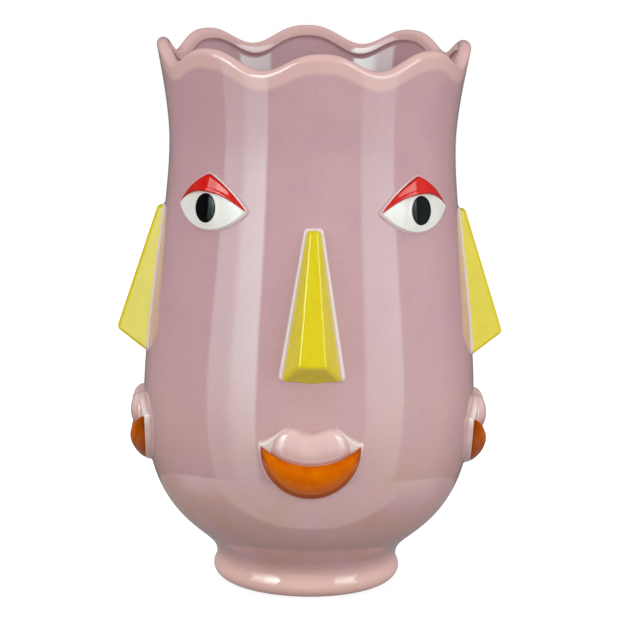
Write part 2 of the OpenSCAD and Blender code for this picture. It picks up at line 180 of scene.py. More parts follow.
# Real specks are about 0.2 mm wide, too fine to show here, so the grain is coarser.
GRAIN_MM, CLOUD_MM, RIPPLE_MM, RIPPLE_DEPTH_MM = 0.9, 22.0, 2.2, 0.04
DOT_SPACING_MM, DOT_SHARE = 9.0, 0.026  # a dot's radius as a share of the spacing


def new_material(name):
    """An empty material and its node tree."""
    material = bpy.data.materials.new(name)
    material.use_nodes = True
    material.node_tree.nodes.clear()
    return material, material.node_tree


def body_glaze():
    """Mauve glaze: painted shade makes it darker and warmer low down; pale where it thins, with
    painted highlight on pad rims and painted light on the foot; bare clay under the foot.
    """
    material, tree = new_material("mauve_earthenware_glaze")
    place = add(tree, "ShaderNodeTexCoord").outputs["Object"]
    height = add(tree, "ShaderNodeSeparateXYZ", {0: place}).outputs["Z"]
    cloud, grain, ripple = [
        add(tree, "ShaderNodeTexNoise",
            {"Vector": place, "Scale": 1 / (size * MM), "Detail": detail}).outputs[0]
        for size, detail in ((CLOUD_MM, 3.0), (GRAIN_MM, 2.0), (RIPPLE_MM, 1.0))]

    layers = []  # each is a share and the shade that it brings
    # The height bands paint shade under the belly: warmer and a little darker below 55 mm,
    # lighter above it, and mauve again above 105 mm.
    for value, low, high, most, shade in (
            (height, 55 * MM, 95 * MM, 1.0, "CFA9A6"),
            (height, 105 * MM, 145 * MM, 1.0, "C39DA4"),
            (cloud, 0.3, 0.7, 1.0, "C9A3A8"),
            (grain, 0.35, 0.75, 0.45, "B89199")):
        share = add(tree, "ShaderNodeMapRange", {
            "Value": value, "From Min": low, "From Max": high, "To Max": most})
        layers.append((share.outputs[0], shade))
    dots = add(tree, "ShaderNodeTexVoronoi",
               {"Vector": place, "Scale": 1 / (DOT_SPACING_MM * MM)})
    dot = add(tree, "ShaderNodeMath", {0: dots.outputs["Distance"], 1: DOT_SHARE},
              operation="LESS_THAN")
    layers.append((dot.outputs[0], "8E6A70"))
    # The pad-rim mark also paints highlight, and the foot mark also paints light from the white
    # ground; the rim and bare clay marks are the glaze's own.
    for mark, shade in (("pale_rim", "DAB3B0"), ("pale_foot_and_light", "E8C0B7"),
                        ("glaze_break", "E6D8D3"), ("bare_clay", "B98F72")):
        share = add(tree, "ShaderNodeAttribute", attribute_name=mark)
        layers.append((share.outputs["Fac"], shade))

    # The starting shade is the painted shade under the belly, warmer and a little darker than
    # the mauve.
    tint = colour("C19B8C")
    for share, shade in layers:
        tint = add(tree, "ShaderNodeMix", {0: share, 6: tint, 7: colour(shade)},
                   data_type="RGBA").outputs[2]
    clay = layers[-1][0]
    gloss = add(tree, "ShaderNodeMapRange",
                {"Value": clay, "To Min": GLOSSY, "To Max": MATT_CLAY})
    bump = add(tree, "ShaderNodeBump",
               {"Height": ripple, "Strength": 0.25, "Distance": RIPPLE_DEPTH_MM * MM})
    surface = add(tree, "ShaderNodeBsdfPrincipled", {
        "Base Color": tint, "Roughness": gloss.outputs[0], "Normal": bump.outputs[0],
        "IOR": GLAZE_IOR})
    add(tree, "ShaderNodeOutputMaterial", {"Surface": surface.outputs[0]})
    return material


MAUVE = body_glaze()
print("made", MAUVE.name)

# %% [markdown]
# ## The painted glazes
# The reliefs carry brighter glazes, brushed over a white slip. A brush leaves
# a layer of uneven thickness, so each of them clouds between a thick and a
# thin shade. A third, darker shade lies along edges: partly glaze that ran
# together there, partly painted shade on lower edges and in creases. They
# differ only in these shades, in the size of the clouds and in how strongly
# they mirror, so one function makes them all.

# %% Build the painted glazes
PAINT_IOR = 1.4
BRUSHED_ROUGHNESS = 0.08
BRUSH_MARK_MM = 0.2


def painted_glaze(name, thick, thin, pooled, cloud_mm, ior=PAINT_IOR, gloss="FFFFFF"):
    """Brushed glaze that clouds between two shades and is darkest on edges, where glaze pools
    and painted shade falls.
    """
    material, tree = new_material(name)
    place = add(tree, "ShaderNodeTexCoord").outputs["Object"]
    cloud, grain = [
        add(tree, "ShaderNodeTexNoise",
            {"Vector": place, "Scale": 1 / (size * MM), "Detail": detail}).outputs[0]
        for size, detail in ((cloud_mm, 3.0), (GRAIN_MM, 2.0))]
    clouds = add(tree, "ShaderNodeMapRange",
                 {"Value": cloud, "From Min": 0.35, "From Max": 0.7})
    grains = add(tree, "ShaderNodeMapRange",
                 {"Value": grain, "From Min": 0.4, "From Max": 0.7, "To Max": 0.3})
    share = add(tree, "ShaderNodeMath", {0: clouds.outputs[0], 1: grains.outputs[0]},
                operation="ADD", use_clamp=True)
    tint = add(tree, "ShaderNodeMix",
               {0: share.outputs[0], 6: colour(thick), 7: colour(thin)}, data_type="RGBA")
    pool = add(tree, "ShaderNodeAttribute", attribute_name="pooled_glaze")
    tint = add(tree, "ShaderNodeMix",
               {0: pool.outputs["Fac"], 6: tint.outputs[2], 7: colour(pooled)},
               data_type="RGBA")
    bump = add(tree, "ShaderNodeBump",
               {"Height": cloud, "Strength": 0.3, "Distance": BRUSH_MARK_MM * MM})
    surface = add(tree, "ShaderNodeBsdfPrincipled", {
        "Base Color": tint.outputs[2], "Roughness": BRUSHED_ROUGHNESS,
        "Normal": bump.outputs[0], "IOR": ior, "Specular Tint": colour(gloss)})
    add(tree, "ShaderNodeOutputMaterial", {"Surface": surface.outputs[0]})
    return material


# Yellow, red and black lie thin and dense, and mirror less than the thick body glaze.
YELLOW = painted_glaze("yellow_brushed_glaze", "D6C403", "DBCA16", "B4960E", 6.0)
RED = painted_glaze("red_brushed_glaze", "CC100C", "D4241A", "7E0A08", 5.0)
BLACK = painted_glaze("black_brushed_glaze", "040404", "080808", "020202", 4.0, 1.3)
# Orange is strong enough to tint the light that it mirrors.
ORANGE = painted_glaze("orange_brushed_glaze", "C95C00", "D56E00", "983E00", 7.0,
                       gloss="FFA850")
# White and pink are thick glossy glazes, milky with tin.
WHITE = painted_glaze("white_tin_glaze", "E2E1DB", "EAE9E4", "CFC8C2", 8.0, 1.5)
PINK = painted_glaze("pale_pink_glaze", "DFBAB8", "E6C7C3", "C99F9C", 8.0, GLAZE_IOR)
print("made", len(bpy.data.materials), "materials")

# %% [markdown]
# ## The line of the turned wall
# On the real pot the body, the collar with its scallops, the rolled lip and
# the foot are luted together, smoothed with a wet finger and glazed over, so
# that no seam shows. That is why one line draws them all here. It starts in
# the hollow under the foot, goes up the outside, over the lip, and down the
# inside to the middle of the floor.

# %% Small tools for drawing a line
LEAN = math.atan(FLARE)


def arc(centre, radius, start, end, steps):
    """Points on a circle, with angles in degrees from the outward direction."""
    a = np.radians(np.linspace(start, end, steps))
    return np.array(centre) + radius * np.stack([np.cos(a), np.sin(a)], 1)


def line_between(start, end, steps):
    """Evenly spaced points from start up to, but without, end."""
    return np.linspace(start, end, steps + 1)[:-1]


def smooth_step(value, low, high):
    """From 0 at low to 1 at high, without a corner at either."""
    t = np.clip((value - low) / (high - low), 0, 1)
    return t * t * (3 - 2 * t)


print("the rim leans out by %.1f degrees" % math.degrees(LEAN))

# %% Draw the line, part by part
FOOT_R, FOOT_BULGE_Z, FOOT_REST_R, FOOT_BORE_R = 47.8, 6.0, 41.4, 34.0
HOLLOW_ROUND, REST_ROUND = 2.0, 1.0
LIP_T, LIP_OVERHANG, TUCK_R = 6.2, 2.2, 0.7
SEAM_Z = 252.0          # the collar is luted on here, and the wave begins
FIXED_Z = POT_H - 14    # from here up the whole wave is felt
FLOOR_FLAT_R, FILLET_Z = 34.0, 26.0


def foot_lines():
    """The hollow under the foot, the ring that it rests on, and its rolled outside."""
    under = np.vstack([
        line_between((0, FOOT_H), (FOOT_BORE_R - HOLLOW_ROUND, FOOT_H), 6),
        arc((FOOT_BORE_R - HOLLOW_ROUND, FOOT_H - HOLLOW_ROUND), HOLLOW_ROUND, 90, 0, 6),
        line_between((FOOT_BORE_R, FOOT_H - 2.6), (FOOT_BORE_R, 1.4), 5),
        arc((FOOT_BORE_R + REST_ROUND, REST_ROUND), REST_ROUND, 180, 270, 6),
    ])
    rest = line_between((FOOT_BORE_R + 2, 0), (FOOT_REST_R, 0), 4)
    step, above_bulge = FOOT_R - FOOT_REST_R, FOOT_H - FOOT_BULGE_Z
    foot = np.vstack([
        bezier([(FOOT_REST_R, 0), (FOOT_REST_R + 0.55 * step, 0),
                (FOOT_R, FOOT_BULGE_Z * 0.5), (FOOT_R, FOOT_BULGE_Z)], 16)[:-1],
        bezier([(FOOT_R, FOOT_BULGE_Z), (FOOT_R, FOOT_BULGE_Z + 0.5 * above_bulge),
                (NECK_R, FOOT_H - 0.5 * above_bulge), (NECK_R, FOOT_H)], 14)[:-1],
    ])
    return under, rest, foot


def lip_lines():
    """The height where the lip begins, its round top, and its tuck over the inside."""
    r = LIP_T / 2
    side_z = POT_H - r * (1 + math.sin(LEAN))
    middle = np.array([wall_r(side_z) - r * math.cos(LEAN), side_z + r * math.sin(LEAN)])
    tilt = -math.degrees(LEAN)
    lip = arc(middle, r, tilt, tilt + 180, 26)[1:]
    normal = np.array([math.cos(LEAN), -math.sin(LEAN)])
    along = np.array([math.sin(LEAN), math.cos(LEAN)])
    edge = lip[-1] - LIP_OVERHANG * along
    tuck = np.array([edge + TUCK_R * normal
                     - TUCK_R * (math.cos(t) * normal + math.sin(t) * along)
                     for t in np.linspace(0, math.pi / 2, 6)])
    return side_z, lip, tuck


def turned_line():
    """Half section of the whole pot, as named parts in their order."""
    under, rest, foot = foot_lines()
    side_z, lip, tuck = lip_lines()
    heights = np.concatenate([
        np.linspace(FOOT_H, 45, 30)[:-1], np.linspace(45, WAIST_Z, 60)[:-1],
        np.linspace(WAIST_Z, FIXED_Z - 2, 14)[:-1], np.linspace(FIXED_Z - 2, side_z, 12)])
    outside = np.stack([wall_r(heights), heights], 1)
    low = tuck[-1][1] - TUCK_R / 2
    inner_z = np.concatenate([
        np.linspace(low, FIXED_Z - 2, 6)[:-1], np.linspace(FIXED_Z - 2, WAIST_Z, 14)[:-1],
        np.linspace(WAIST_Z, FILLET_Z, 56)])
    inside = np.stack([np.interp(inner_z, INNER[:, 1], INNER[:, 0]), inner_z], 1)
    corner = np.array([np.interp(FLOOR_Z, INNER[:, 1], INNER[:, 0]), FLOOR_Z])
    fillet = bezier([inside[-1], corner + (0.2, 1.5), corner - (1.5, 0),
                     (FLOOR_FLAT_R, FLOOR_Z)], 12)[1:]
    floor = np.linspace((FLOOR_FLAT_R, FLOOR_Z), (0, FLOOR_Z), 7)[1:]
    return {"under": under, "rest": rest, "foot": foot, "outside": outside, "lip": lip,
            "tuck": tuck, "inside": inside, "fillet": fillet, "floor": floor}


line_parts = turned_line()
line_points = np.vstack(list(line_parts.values()))
print("points on the turned line:", len(line_points))

# %% [markdown]
# ## What each point of the line must know
# The scallops are cut into a wall that leans and curves. When a point slides
# down by the wave, it has to move inwards too, to stay on the flare. So each
# point carries its share of the wave, and the slope and bend of the wall
# there. It also carries its finish: where the glaze pales at the rim and the
# foot, with the foot made paler still as painted light from the white ground,
# and the bare clay ring that was wiped clean to stand in the kiln.

# %% Marks for the slide and the finish
FIT_FROM_Z, FIT_TO_Z, FIT_DEGREE = 235, 274.0, 4
PALE_RIM_FROM, PALE_RIM_TO = POT_H - 10.2, POT_H - 8.2
PALE_FOOT_FROM, PALE_FOOT_TO = 7, 17
WIPED_Z = 0.5


def flare_fit(wall):
    """The flaring part of a wall line as a curve that gives its slope and bend."""
    above = OUTER[:, 1] > FIT_FROM_Z
    return np.polyfit(wall[above, 1], wall[above, 0], FIT_DEGREE)


def row_marks(parts):
    """For each point: its share of the wave, the wall's slope and bend, and its finish."""
    slide, finish = [], []
    outer_fit, inner_fit = flare_fit(OUTER), flare_fit(INNER)
    for name, part in parts.items():
        inner = name in ("inside", "fillet", "floor")
        for r, z in part:
            share = float(np.clip((z - SEAM_Z) / (FIXED_Z - SEAM_Z), 0, 1))
            fit, at = (inner_fit, z) if inner else (outer_fit, min(z, FIT_TO_Z))
            slope, bend = (np.polyval(np.polyder(fit, n), at) for n in (1, 2))
            slide.append((share, slope, bend / MM))
            pale = 0.0 if inner else smooth_step(z, PALE_RIM_FROM, PALE_RIM_TO)
            # The foot's pale mark is paler glaze, made paler still as painted light from the
            # white ground.
            foot = 0.0
            if name in ("foot", "outside"):
                foot = 1 - smooth_step(z, PALE_FOOT_FROM, PALE_FOOT_TO)
            wiped = name == "rest" or (name in ("under", "foot") and z < WIPED_Z)
            finish.append((pale, 1.0 if wiped else 0.0, foot))
    return slide, finish


line_slide, line_finish = row_marks(line_parts)
print("points that slide with the wave:", sum(share > 0 for share, _, _ in line_slide))

# %% [markdown]
# ## Turning the line
# A lathed line with rim points pushed by hand would do. A rule is better,
# because the scallops are a rule: the same line is turned round the axis, and
# each copy slides down the flare by a wave of the angle. Geometry Nodes make a
# sheet with one column for each step round the pot and one row for each point
# of the line, and then place every point of the sheet. The seam and the two
# poles close when points that lie together are merged. A slow noise makes the
# radius uneven by less than a tenth of a millimetre, as a turned wall is.

# %% Geometry Nodes that turn the line and cut the scallops
COLUMNS, SCALLOPS, SCALLOP_DEPTH_MM, BROADNESS = 256, 8, 9.0, 1.3
RIM_TURN = math.radians(1.9)
UNEVENNESS, LUMPS_PER_METRE = 0.0012, 26.0
SEAM_WELD_MM = 0.02

# Each line is one sum: what it gives, how, and from what. Words are earlier results.
PLACING_SUMS = [
    ("turn", "DIVIDE", "column", "Columns"),
    ("angle", "MULTIPLY", "turn", 2 * math.pi),
    ("late", "SUBTRACT", "angle", "Turn"),
    ("phase", "MULTIPLY", "late", "Scallops"),
    ("wave", "COSINE", "phase"),
    ("half wave", "MULTIPLY", "wave", 0.5),
    ("dip", "SUBTRACT", 0.5, "half wave"),
    ("lobe", "POWER", "dip", "Broadness"),
    ("drop", "MULTIPLY", "lobe", "Scallop Depth"),
    ("shift", "MULTIPLY", "drop", "slide X"),
    ("back by half", "MULTIPLY", "shift", -0.5),
    ("slope", "MULTIPLY_ADD", "slide Z", "back by half", "slide Y"),
    ("inwards", "MULTIPLY", "shift", "slope"),
    ("radius", "SUBTRACT", "place X", "inwards"),
    ("height", "SUBTRACT", "place Z", "shift"),
    ("sine", "SINE", "angle"),
    ("cosine", "COSINE", "angle"),
    ("x", "MULTIPLY", "radius", "sine"),
    ("depth", "MULTIPLY", "radius", "cosine"),
    ("y", "MULTIPLY", "depth", -1.0),
]


def turning_tree():
    """A tree that turns a line of points into the whole wall."""
    tree = bpy.data.node_groups.new("turn_with_scallops", "GeometryNodeTree")
    for name, kind in (("Line", "Geometry"), ("Columns", "Int"), ("Scallops", "Int"),
                       ("Scallop Depth", "Float"), ("Broadness", "Float"), ("Turn", "Float"),
                       ("Unevenness", "Float"), ("Glaze", "Material")):
        tree.interface.new_socket(name, in_out="INPUT", socket_type="NodeSocket" + kind)
    tree.interface.new_socket("Pot", in_out="OUTPUT", socket_type="NodeSocketGeometry")
    given = add(tree, "NodeGroupInput").outputs

    rows = add(tree, "GeometryNodeAttributeDomainSize",
               {0: given["Line"]}).outputs["Point Count"]
    one_more = add(tree, "ShaderNodeMath", {0: given["Columns"], 1: 1.0}, operation="ADD")
    sheet = add(tree, "GeometryNodeMeshGrid",
                {"Vertices X": one_more.outputs[0], "Vertices Y": rows}).outputs["Mesh"]
    index = add(tree, "GeometryNodeInputIndex").outputs[0]
    row = add(tree, "ShaderNodeMath", {0: index, 1: rows}, operation="MODULO").outputs[0]
    column = add(tree, "ShaderNodeMath", {0: index, 1: rows}, operation="DIVIDE").outputs[0]
    column = add(tree, "ShaderNodeMath", {0: column}, operation="FLOOR").outputs[0]

    known = {name: given[name] for name in given.keys()}
    known["column"] = column
    position = add(tree, "GeometryNodeInputPosition").outputs[0]
    for name in ("place", "slide", "finish"):
        value = position
        if name != "place":
            value = add(tree, "GeometryNodeInputNamedAttribute", {"Name": name},
                        data_type="FLOAT_VECTOR").outputs["Attribute"]
        found = add(tree, "GeometryNodeSampleIndex",
                    {"Geometry": given["Line"], "Value": value, "Index": row},
                    data_type="FLOAT_VECTOR").outputs[0]
        for axis, part in add(tree, "ShaderNodeSeparateXYZ", {0: found}).outputs.items():
            known[name + " " + axis] = part

    for result, operation, *values in PLACING_SUMS:
        inputs = {i: known[v] if isinstance(v, str) else v for i, v in enumerate(values)}
        known[result] = add(tree, "ShaderNodeMath", inputs, operation=operation).outputs[0]
    even = add(tree, "ShaderNodeCombineXYZ",
               {0: known["x"], 1: known["y"], 2: known["height"]}).outputs[0]

    noise = add(tree, "ShaderNodeTexNoise",
                {"Vector": even, "Scale": LUMPS_PER_METRE, "Detail": 1.0}).outputs[0]
    swell = add(tree, "ShaderNodeMath", {0: noise, 1: -0.5}, operation="ADD").outputs[0]
    swell = add(tree, "ShaderNodeMath", {0: swell, 1: given["Unevenness"], 2: 1.0},
                operation="MULTIPLY_ADD").outputs[0]
    stretch = add(tree, "ShaderNodeCombineXYZ", {0: swell, 1: swell, 2: 1.0}).outputs[0]
    place = add(tree, "ShaderNodeVectorMath", {0: even, 1: stretch},
                operation="MULTIPLY").outputs[0]

    pot = add(tree, "GeometryNodeSetPosition",
              {"Geometry": sheet, "Position": place}).outputs[0]
    for name, axis in (("pale_rim", "X"), ("bare_clay", "Y"), ("pale_foot_and_light", "Z")):
        pot = add(tree, "GeometryNodeStoreNamedAttribute",
                  {"Geometry": pot, "Name": name, "Value": known["finish " + axis]},
                  data_type="FLOAT", domain="POINT").outputs[0]
    for kind, inputs in (
            ("GeometryNodeMergeByDistance", {"Distance": SEAM_WELD_MM * MM}),
            ("GeometryNodeSetShadeSmooth", {}),
            ("GeometryNodeRealizeInstances", {}),
            ("GeometryNodeSetMaterial", {"Material": given["Glaze"]})):
        pot = add(tree, kind, {"Geometry": pot, **inputs}).outputs[0]
    add(tree, "NodeGroupOutput", {"Pot": pot})
    return tree


wall_tree = turning_tree()
print("nodes in the tree:", len(wall_tree.nodes))

# %% [markdown]
# The tree hangs on an object as a modifier, and its inputs are set by their
# identifiers. The result is copied into a plain mesh, because a plain mesh is
# what rides on a body.

# %% Turn the wall
def grown(name, source, tree, values):
    """The plain mesh object that a tree makes from a source object."""
    modifier = source.modifiers.new("tree", "NODES")
    modifier.node_group = tree
    for item in tree.interface.items_tree:
        if item.item_type == "SOCKET" and item.in_out == "INPUT" and item.name in values:
            modifier[item.identifier] = values[item.name]
    bpy.context.view_layer.update()
    evaluated = source.evaluated_get(bpy.context.evaluated_depsgraph_get())
    mesh = bpy.data.meshes.new_from_object(evaluated)
    source.modifiers.remove(modifier)
    bpy.data.objects.remove(source)
    mesh.name = name
    piece = bpy.data.objects.new(name, mesh)
    bpy.context.scene.collection.objects.link(piece)
    return piece


line_mesh = bpy.data.meshes.new("turned_line")
line_mesh.from_pydata([(r * MM, 0, z * MM) for r, z in line_points],
                      [(i, i + 1) for i in range(len(line_points) - 1)], [])
for mark_name, mark_rows in (("slide", line_slide), ("finish", line_finish)):
    layer = line_mesh.attributes.new(mark_name, "FLOAT_VECTOR", "POINT")
    layer.data.foreach_set("vector", np.array(mark_rows, np.float32).ravel())
line_object = bpy.data.objects.new("turned_line", line_mesh)
bpy.context.scene.collection.objects.link(line_object)
pot_wall = grown("glazed_pot_wall", line_object, wall_tree, {
    "Columns": COLUMNS, "Scallops": SCALLOPS, "Scallop Depth": SCALLOP_DEPTH_MM * MM,
    "Broadness": BROADNESS, "Turn": RIM_TURN, "Unevenness": UNEVENNESS, "Glaze": MAUVE})
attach(pot_wall, "root")
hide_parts("pot_body", "scalloped_collar", "rim_lip", "foot_ring")
print("wall faces:", len(pot_wall.data.polygons))

# %% [markdown]
# ## Laying reliefs on the wall
# A relief is shaped flat, in front view, and then pressed to the round wall.
# So each one is drawn with a sideways and an upward size, and one function
# bends it on: a point keeps both and stands out from the wall by its height.
# A relief is made once, and copies are turned to the four sides or corners.

# %% Functions that lay a relief on the wall and set it out around the pot
SIDES = ["front", "right", "back", "left"]
CORNERS = ["front_right", "back_right", "back_left", "front_left"]
EYE_TOE = 1.2  # each eye sits this many degrees nearer to the front or back face
SIDE_TURNS = [0, 90, 180, 270]
CORNER_TURNS = [45 - EYE_TOE, 135 + EYE_TOE, 225 - EYE_TOE, 315 + EYE_TOE]


def on_wall(flat, height):
    """Points of a flat outline laid on the front of the wall, height above it."""
    flat = np.asarray(flat, float)
    radius = wall_r(flat[:, 1]) + height
    return np.stack([flat[:, 0], -np.sqrt(radius**2 - flat[:, 0] ** 2), flat[:, 1]], 1)


def ring_mesh(name, rings, first=None, last=None, **marks):
    """Closed skin over rings of equal length, with a point at each end."""
    count = len(rings[0])
    points = [p for ring in rings for p in ring]
    faces = []
    for k in range(len(rings) - 1):
        for j in range(count):
            a, b = k * count + j, k * count + (j + 1) % count
            faces.append((a, b, b + count, a + count))
    for tip, k in ((first, 0), (last, len(rings) - 1)):
        if tip is not None:
            points.append(tip)
            faces += [(k * count + j, k * count + (j + 1) % count, len(points) - 1)
                      for j in range(count)]
    for mark, values in marks.items():
        spread_out = [share for value in values for share in np.broadcast_to(value, count)]
        marks[mark] = spread_out + [0.0] * (len(points) - len(spread_out))
    return closed_mesh(name, points, faces, **marks)


def set_out(mesh, part, places, turns, material):
    """A copy of a front piece at each place around the pot."""
    mesh.materials.clear()
    mesh.materials.append(material)
    for place, turn in zip(places, turns):
        copy = mesh.copy()
        copy.transform(Matrix.Rotation(math.radians(turn), 4, "Z"))
        piece = bpy.data.objects.new("glazed_%s_%s" % (part, place), copy)
        copy.name = piece.name
        bpy.context.scene.collection.objects.link(piece)
        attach(piece, "root")
        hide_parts("%s_%s" % (part, place))
    print("set out", part, "with", len(mesh.polygons), "faces each")


print("eyes stand at", CORNER_TURNS, "degrees")

# %% [markdown]
# ## The noses
# A nose is a wedge cut from a slab of clay: a long flat bridge that widens
# downwards, two slanting cheeks and a slanting underside. Its edges were
# rubbed round with a finger before glazing. A few corner points and a bevel
# give just that. The bevel eats into the wedge's foot, so the wedge is cut a
# little larger there and sunk into the pad below it.

# %% Cut the nose
NOSE_TOP_Z, NOSE_BOTTOM_Z, NOSE_TIP_Z = 193.0, 120.5, 130.3
NOSE_TOP_W, NOSE_BOTTOM_W = 7.4, 29.6
BRIDGE_TOP_W, BRIDGE_TIP_W = 4.4, 13.7
NOSE_REACH, NOSE_TOP_REACH, NOSE_PAD_T = 15.7, 3.5, 0.8
SPARE_TOP, SPARE_SIDE, SPARE_LOW, SUNK = 0.45, 0.75, 1.5, 2.0
RUBBED_MM, RUBBED_STEPS, RUBBED_ANGLE = 1.6, 5, math.radians(20)


def nose_mesh():
    """Wedge with rubbed edges, as five corners on the wall and five in front of them."""
    top_y = -(wall_r(NOSE_TOP_Z) + NOSE_TOP_REACH)
    tip_y = -(wall_r(NOSE_TIP_Z) + NOSE_REACH)
    half_top, half_bottom = NOSE_TOP_W / 2 + SPARE_TOP, NOSE_BOTTOM_W / 2 + SPARE_SIDE
    low = NOSE_BOTTOM_Z - SPARE_LOW
    base = on_wall([(half_top, NOSE_TOP_Z), (half_bottom, low), (0, low - 0.3),
                    (-half_bottom, low), (-half_top, NOSE_TOP_Z)], NOSE_PAD_T - SUNK)
    front = np.array([
        (BRIDGE_TOP_W / 2, top_y, NOSE_TOP_Z), (BRIDGE_TIP_W / 2, tip_y, NOSE_TIP_Z),
        (0, tip_y - 0.15, NOSE_TIP_Z - 0.25), (-BRIDGE_TIP_W / 2, tip_y, NOSE_TIP_Z),
        (-BRIDGE_TOP_W / 2, top_y, NOSE_TOP_Z)])
    faces = [(0, 1, 2, 3, 4), (9, 8, 7, 6, 5)]
    faces += [(j, 5 + j, 5 + (j + 1) % 5, (j + 1) % 5) for j in range(5)]
    mould = bpy.data.objects.new("nose_mould",
                                 closed_mesh("nose", np.vstack([base, front]), faces))
    bpy.context.scene.collection.objects.link(mould)
    bevel = mould.modifiers.new("rubbed edges", "BEVEL")
    bevel.width, bevel.segments = RUBBED_MM * MM, RUBBED_STEPS
    bevel.limit_method, bevel.angle_limit = "ANGLE", RUBBED_ANGLE
    bevel.harden_normals = True
    bpy.context.view_layer.update()
    rounded = bpy.data.meshes.new_from_object(
        mould.evaluated_get(bpy.context.evaluated_depsgraph_get()))
    bpy.data.objects.remove(mould)
    return rounded


set_out(nose_mesh(), "nose", SIDES, SIDE_TURNS, YELLOW)

# %% [markdown]
# ## The pads
# Each relief sits on a thin pad that was rolled out, cut a little larger and
# luted down. A pad is a stack of outlines: its rim rises from the wall in a
# hollow curve and turns over in a round one. Along that turn the glaze has
# run thin and shows the white slip, so the outlines there carry a pale mark,
# which also paints the highlight that the turn catches.
# The nose's pad has the nose's own outline with round corners.

# %% Roll the nose pads
PAD_SINK = 0.4
PAD_CENTRE_NOSE = np.array([0, 150.0])


def rounded_outline(corners, cut, counts, corner_steps=7):
    """Outline through straight edges whose corners are cut by short curves."""
    corners = np.array(corners, float)
    points = []
    for i, count in enumerate(counts):
        here, after, before = corners[i], corners[(i + 1) % len(corners)], corners[i - 1]
        into = here + cut[i] * (before - here) / np.linalg.norm(before - here)
        out = here + cut[i] * (after - here) / np.linalg.norm(after - here)
        t = np.linspace(0, 1, corner_steps)[:, None]
        points.append((1 - t) ** 2 * into + 2 * t * (1 - t) * here + t**2 * out)
        following = (i + 1) % len(corners)
        stop = after + cut[following] * (here - after) / np.linalg.norm(here - after)
        points.append(np.linspace(out, stop, count + 1)[1:-1])
    return np.vstack(points)


def pad_mesh(name, outer, inner, centre, section, pale_side=1.0, pale_top=0.0):
    """Pad between two outlines, from (share inwards, height, share of pale mark) rows; the pale
    mark is thin glaze and painted highlight.
    """
    rings, marks = [], []
    for share in (0.15, 0.4, 0.7):
        rings.append(on_wall(centre + share * (outer - centre), -PAD_SINK))
        marks.append(0.0)
    for inwards, height, pale in section:
        rings.append(on_wall(outer + inwards * (inner - outer), height))
        marks.append(pale * pale_side)
    top = section[-1][1]
    for share in (0.85, 0.7, 0.55, 0.4, 0.25, 0.1):
        rings.append(on_wall(centre + share * (inner - centre), top))
        marks.append(pale_top * pale_side)
    ends = [on_wall([centre], h)[0] for h in (-PAD_SINK, top)]
    return ring_mesh(name, rings, ends[0], ends[1], glaze_break=marks)


def nose_pad_mesh():
    """Pad round the nose, pale along its two long sides and its top."""
    def trapezoid(side_top, side_bottom, up, down):
        half_top, half_bottom = NOSE_TOP_W / 2 + side_top, NOSE_BOTTOM_W / 2 + side_bottom
        top, bottom = NOSE_TOP_Z + up, NOSE_BOTTOM_Z - down
        corners = [(half_bottom, bottom), (half_top, top),
                   (-half_top, top), (-half_bottom, bottom)]
        return rounded_outline(corners, [3.4, 1.8, 1.8, 3.4], [40, 4, 40, 16])
    outer, inner = trapezoid(1.1, 2.3, 1.3, 0.8), trapezoid(-0.6, -0.6, -0.4, -0.8)
    # The last column is the pale mark: thin glaze and painted highlight along the rim's turn,
    # left off under the nose.
    section = [(0.0, -0.4, 0.0), (0.1, -0.05, 0.2), (0.22, 0.35, 0.7), (0.36, 0.7, 1.0),
               (0.5, 0.9, 1.0), (0.64, 0.98, 0.9), (0.8, 1.0, 0.7), (1.0, 1.0, 0.5)]
    sides_only = smooth_step(outer[:, 1], NOSE_BOTTOM_Z - 0.5, NOSE_BOTTOM_Z + 1.5)
    return pad_mesh("nose_pad", outer, inner, PAD_CENTRE_NOSE, section, sides_only)


set_out(nose_pad_mesh(), "nose_pad", SIDES, SIDE_TURNS, MAUVE)

# %% [markdown]
# ## The eyes
# Each eye is four pieces: a thin pad, a white dome, a black pupil set in it,
# and a lid of two facets that meet in a ridge. They could be drawn freehand,
# but all their outlines are arcs, so a few sizes draw them and keep the
# pieces in step. First come the lines that the four pieces share.

# %% Outlines of the eye
EYE_Z, EYE_W, EYE_DROP = 200.0, 45.2, 10.4
LID_RISE, LID_EDGE_RISE, LID_SIDE_R = 17.0, 8.0, 60.0
LID_REACH, LID_PEAK_REACH = 5.2, 2.4
EYEBALL_REACH, EYEBALL_R = 2.8, 56.0
EYE_PAD_T, PUPIL_D, PUPIL_GAP, PUPIL_SLIMNESS = 0.8, 14.5, 0.5, 0.94
PUPIL_Z = EYE_Z + LID_EDGE_RISE - PUPIL_GAP - PUPIL_D / 2
PEAK_SOFTNESS, PEAK_LOSS = 1.0, 0.45


def arc_radius(width, drop):
    """Radius of the arc that spans a width and bows by a drop."""
    return ((width / 2) ** 2 + drop**2) / (2 * drop)


def lid_low(u):
    """Lower edge of the lid."""
    r = arc_radius(EYE_W, LID_EDGE_RISE)
    return EYE_Z + LID_EDGE_RISE - r + np.sqrt(r**2 - u**2)


def lid_high(u):
    """The pointed arch, with its peak rounded off."""
    chord = np.array([EYE_W / 2, LID_RISE])
    depth = math.sqrt(LID_SIDE_R**2 - np.dot(chord, chord) / 4)
    side = depth / np.linalg.norm(chord)
    cx, cz = -EYE_W / 4 + side * chord[1], EYE_Z + LID_RISE / 2 - side * chord[0]
    soft = np.sqrt(u**2 + PEAK_SOFTNESS) - PEAK_LOSS
    return cz + np.sqrt(LID_SIDE_R**2 - (soft + cx) ** 2)


def under_eye(u):
    """Lower edge of the eye."""
    r = arc_radius(EYE_W, EYE_DROP)
    return EYE_Z - EYE_DROP + r - np.sqrt(r**2 - u**2)


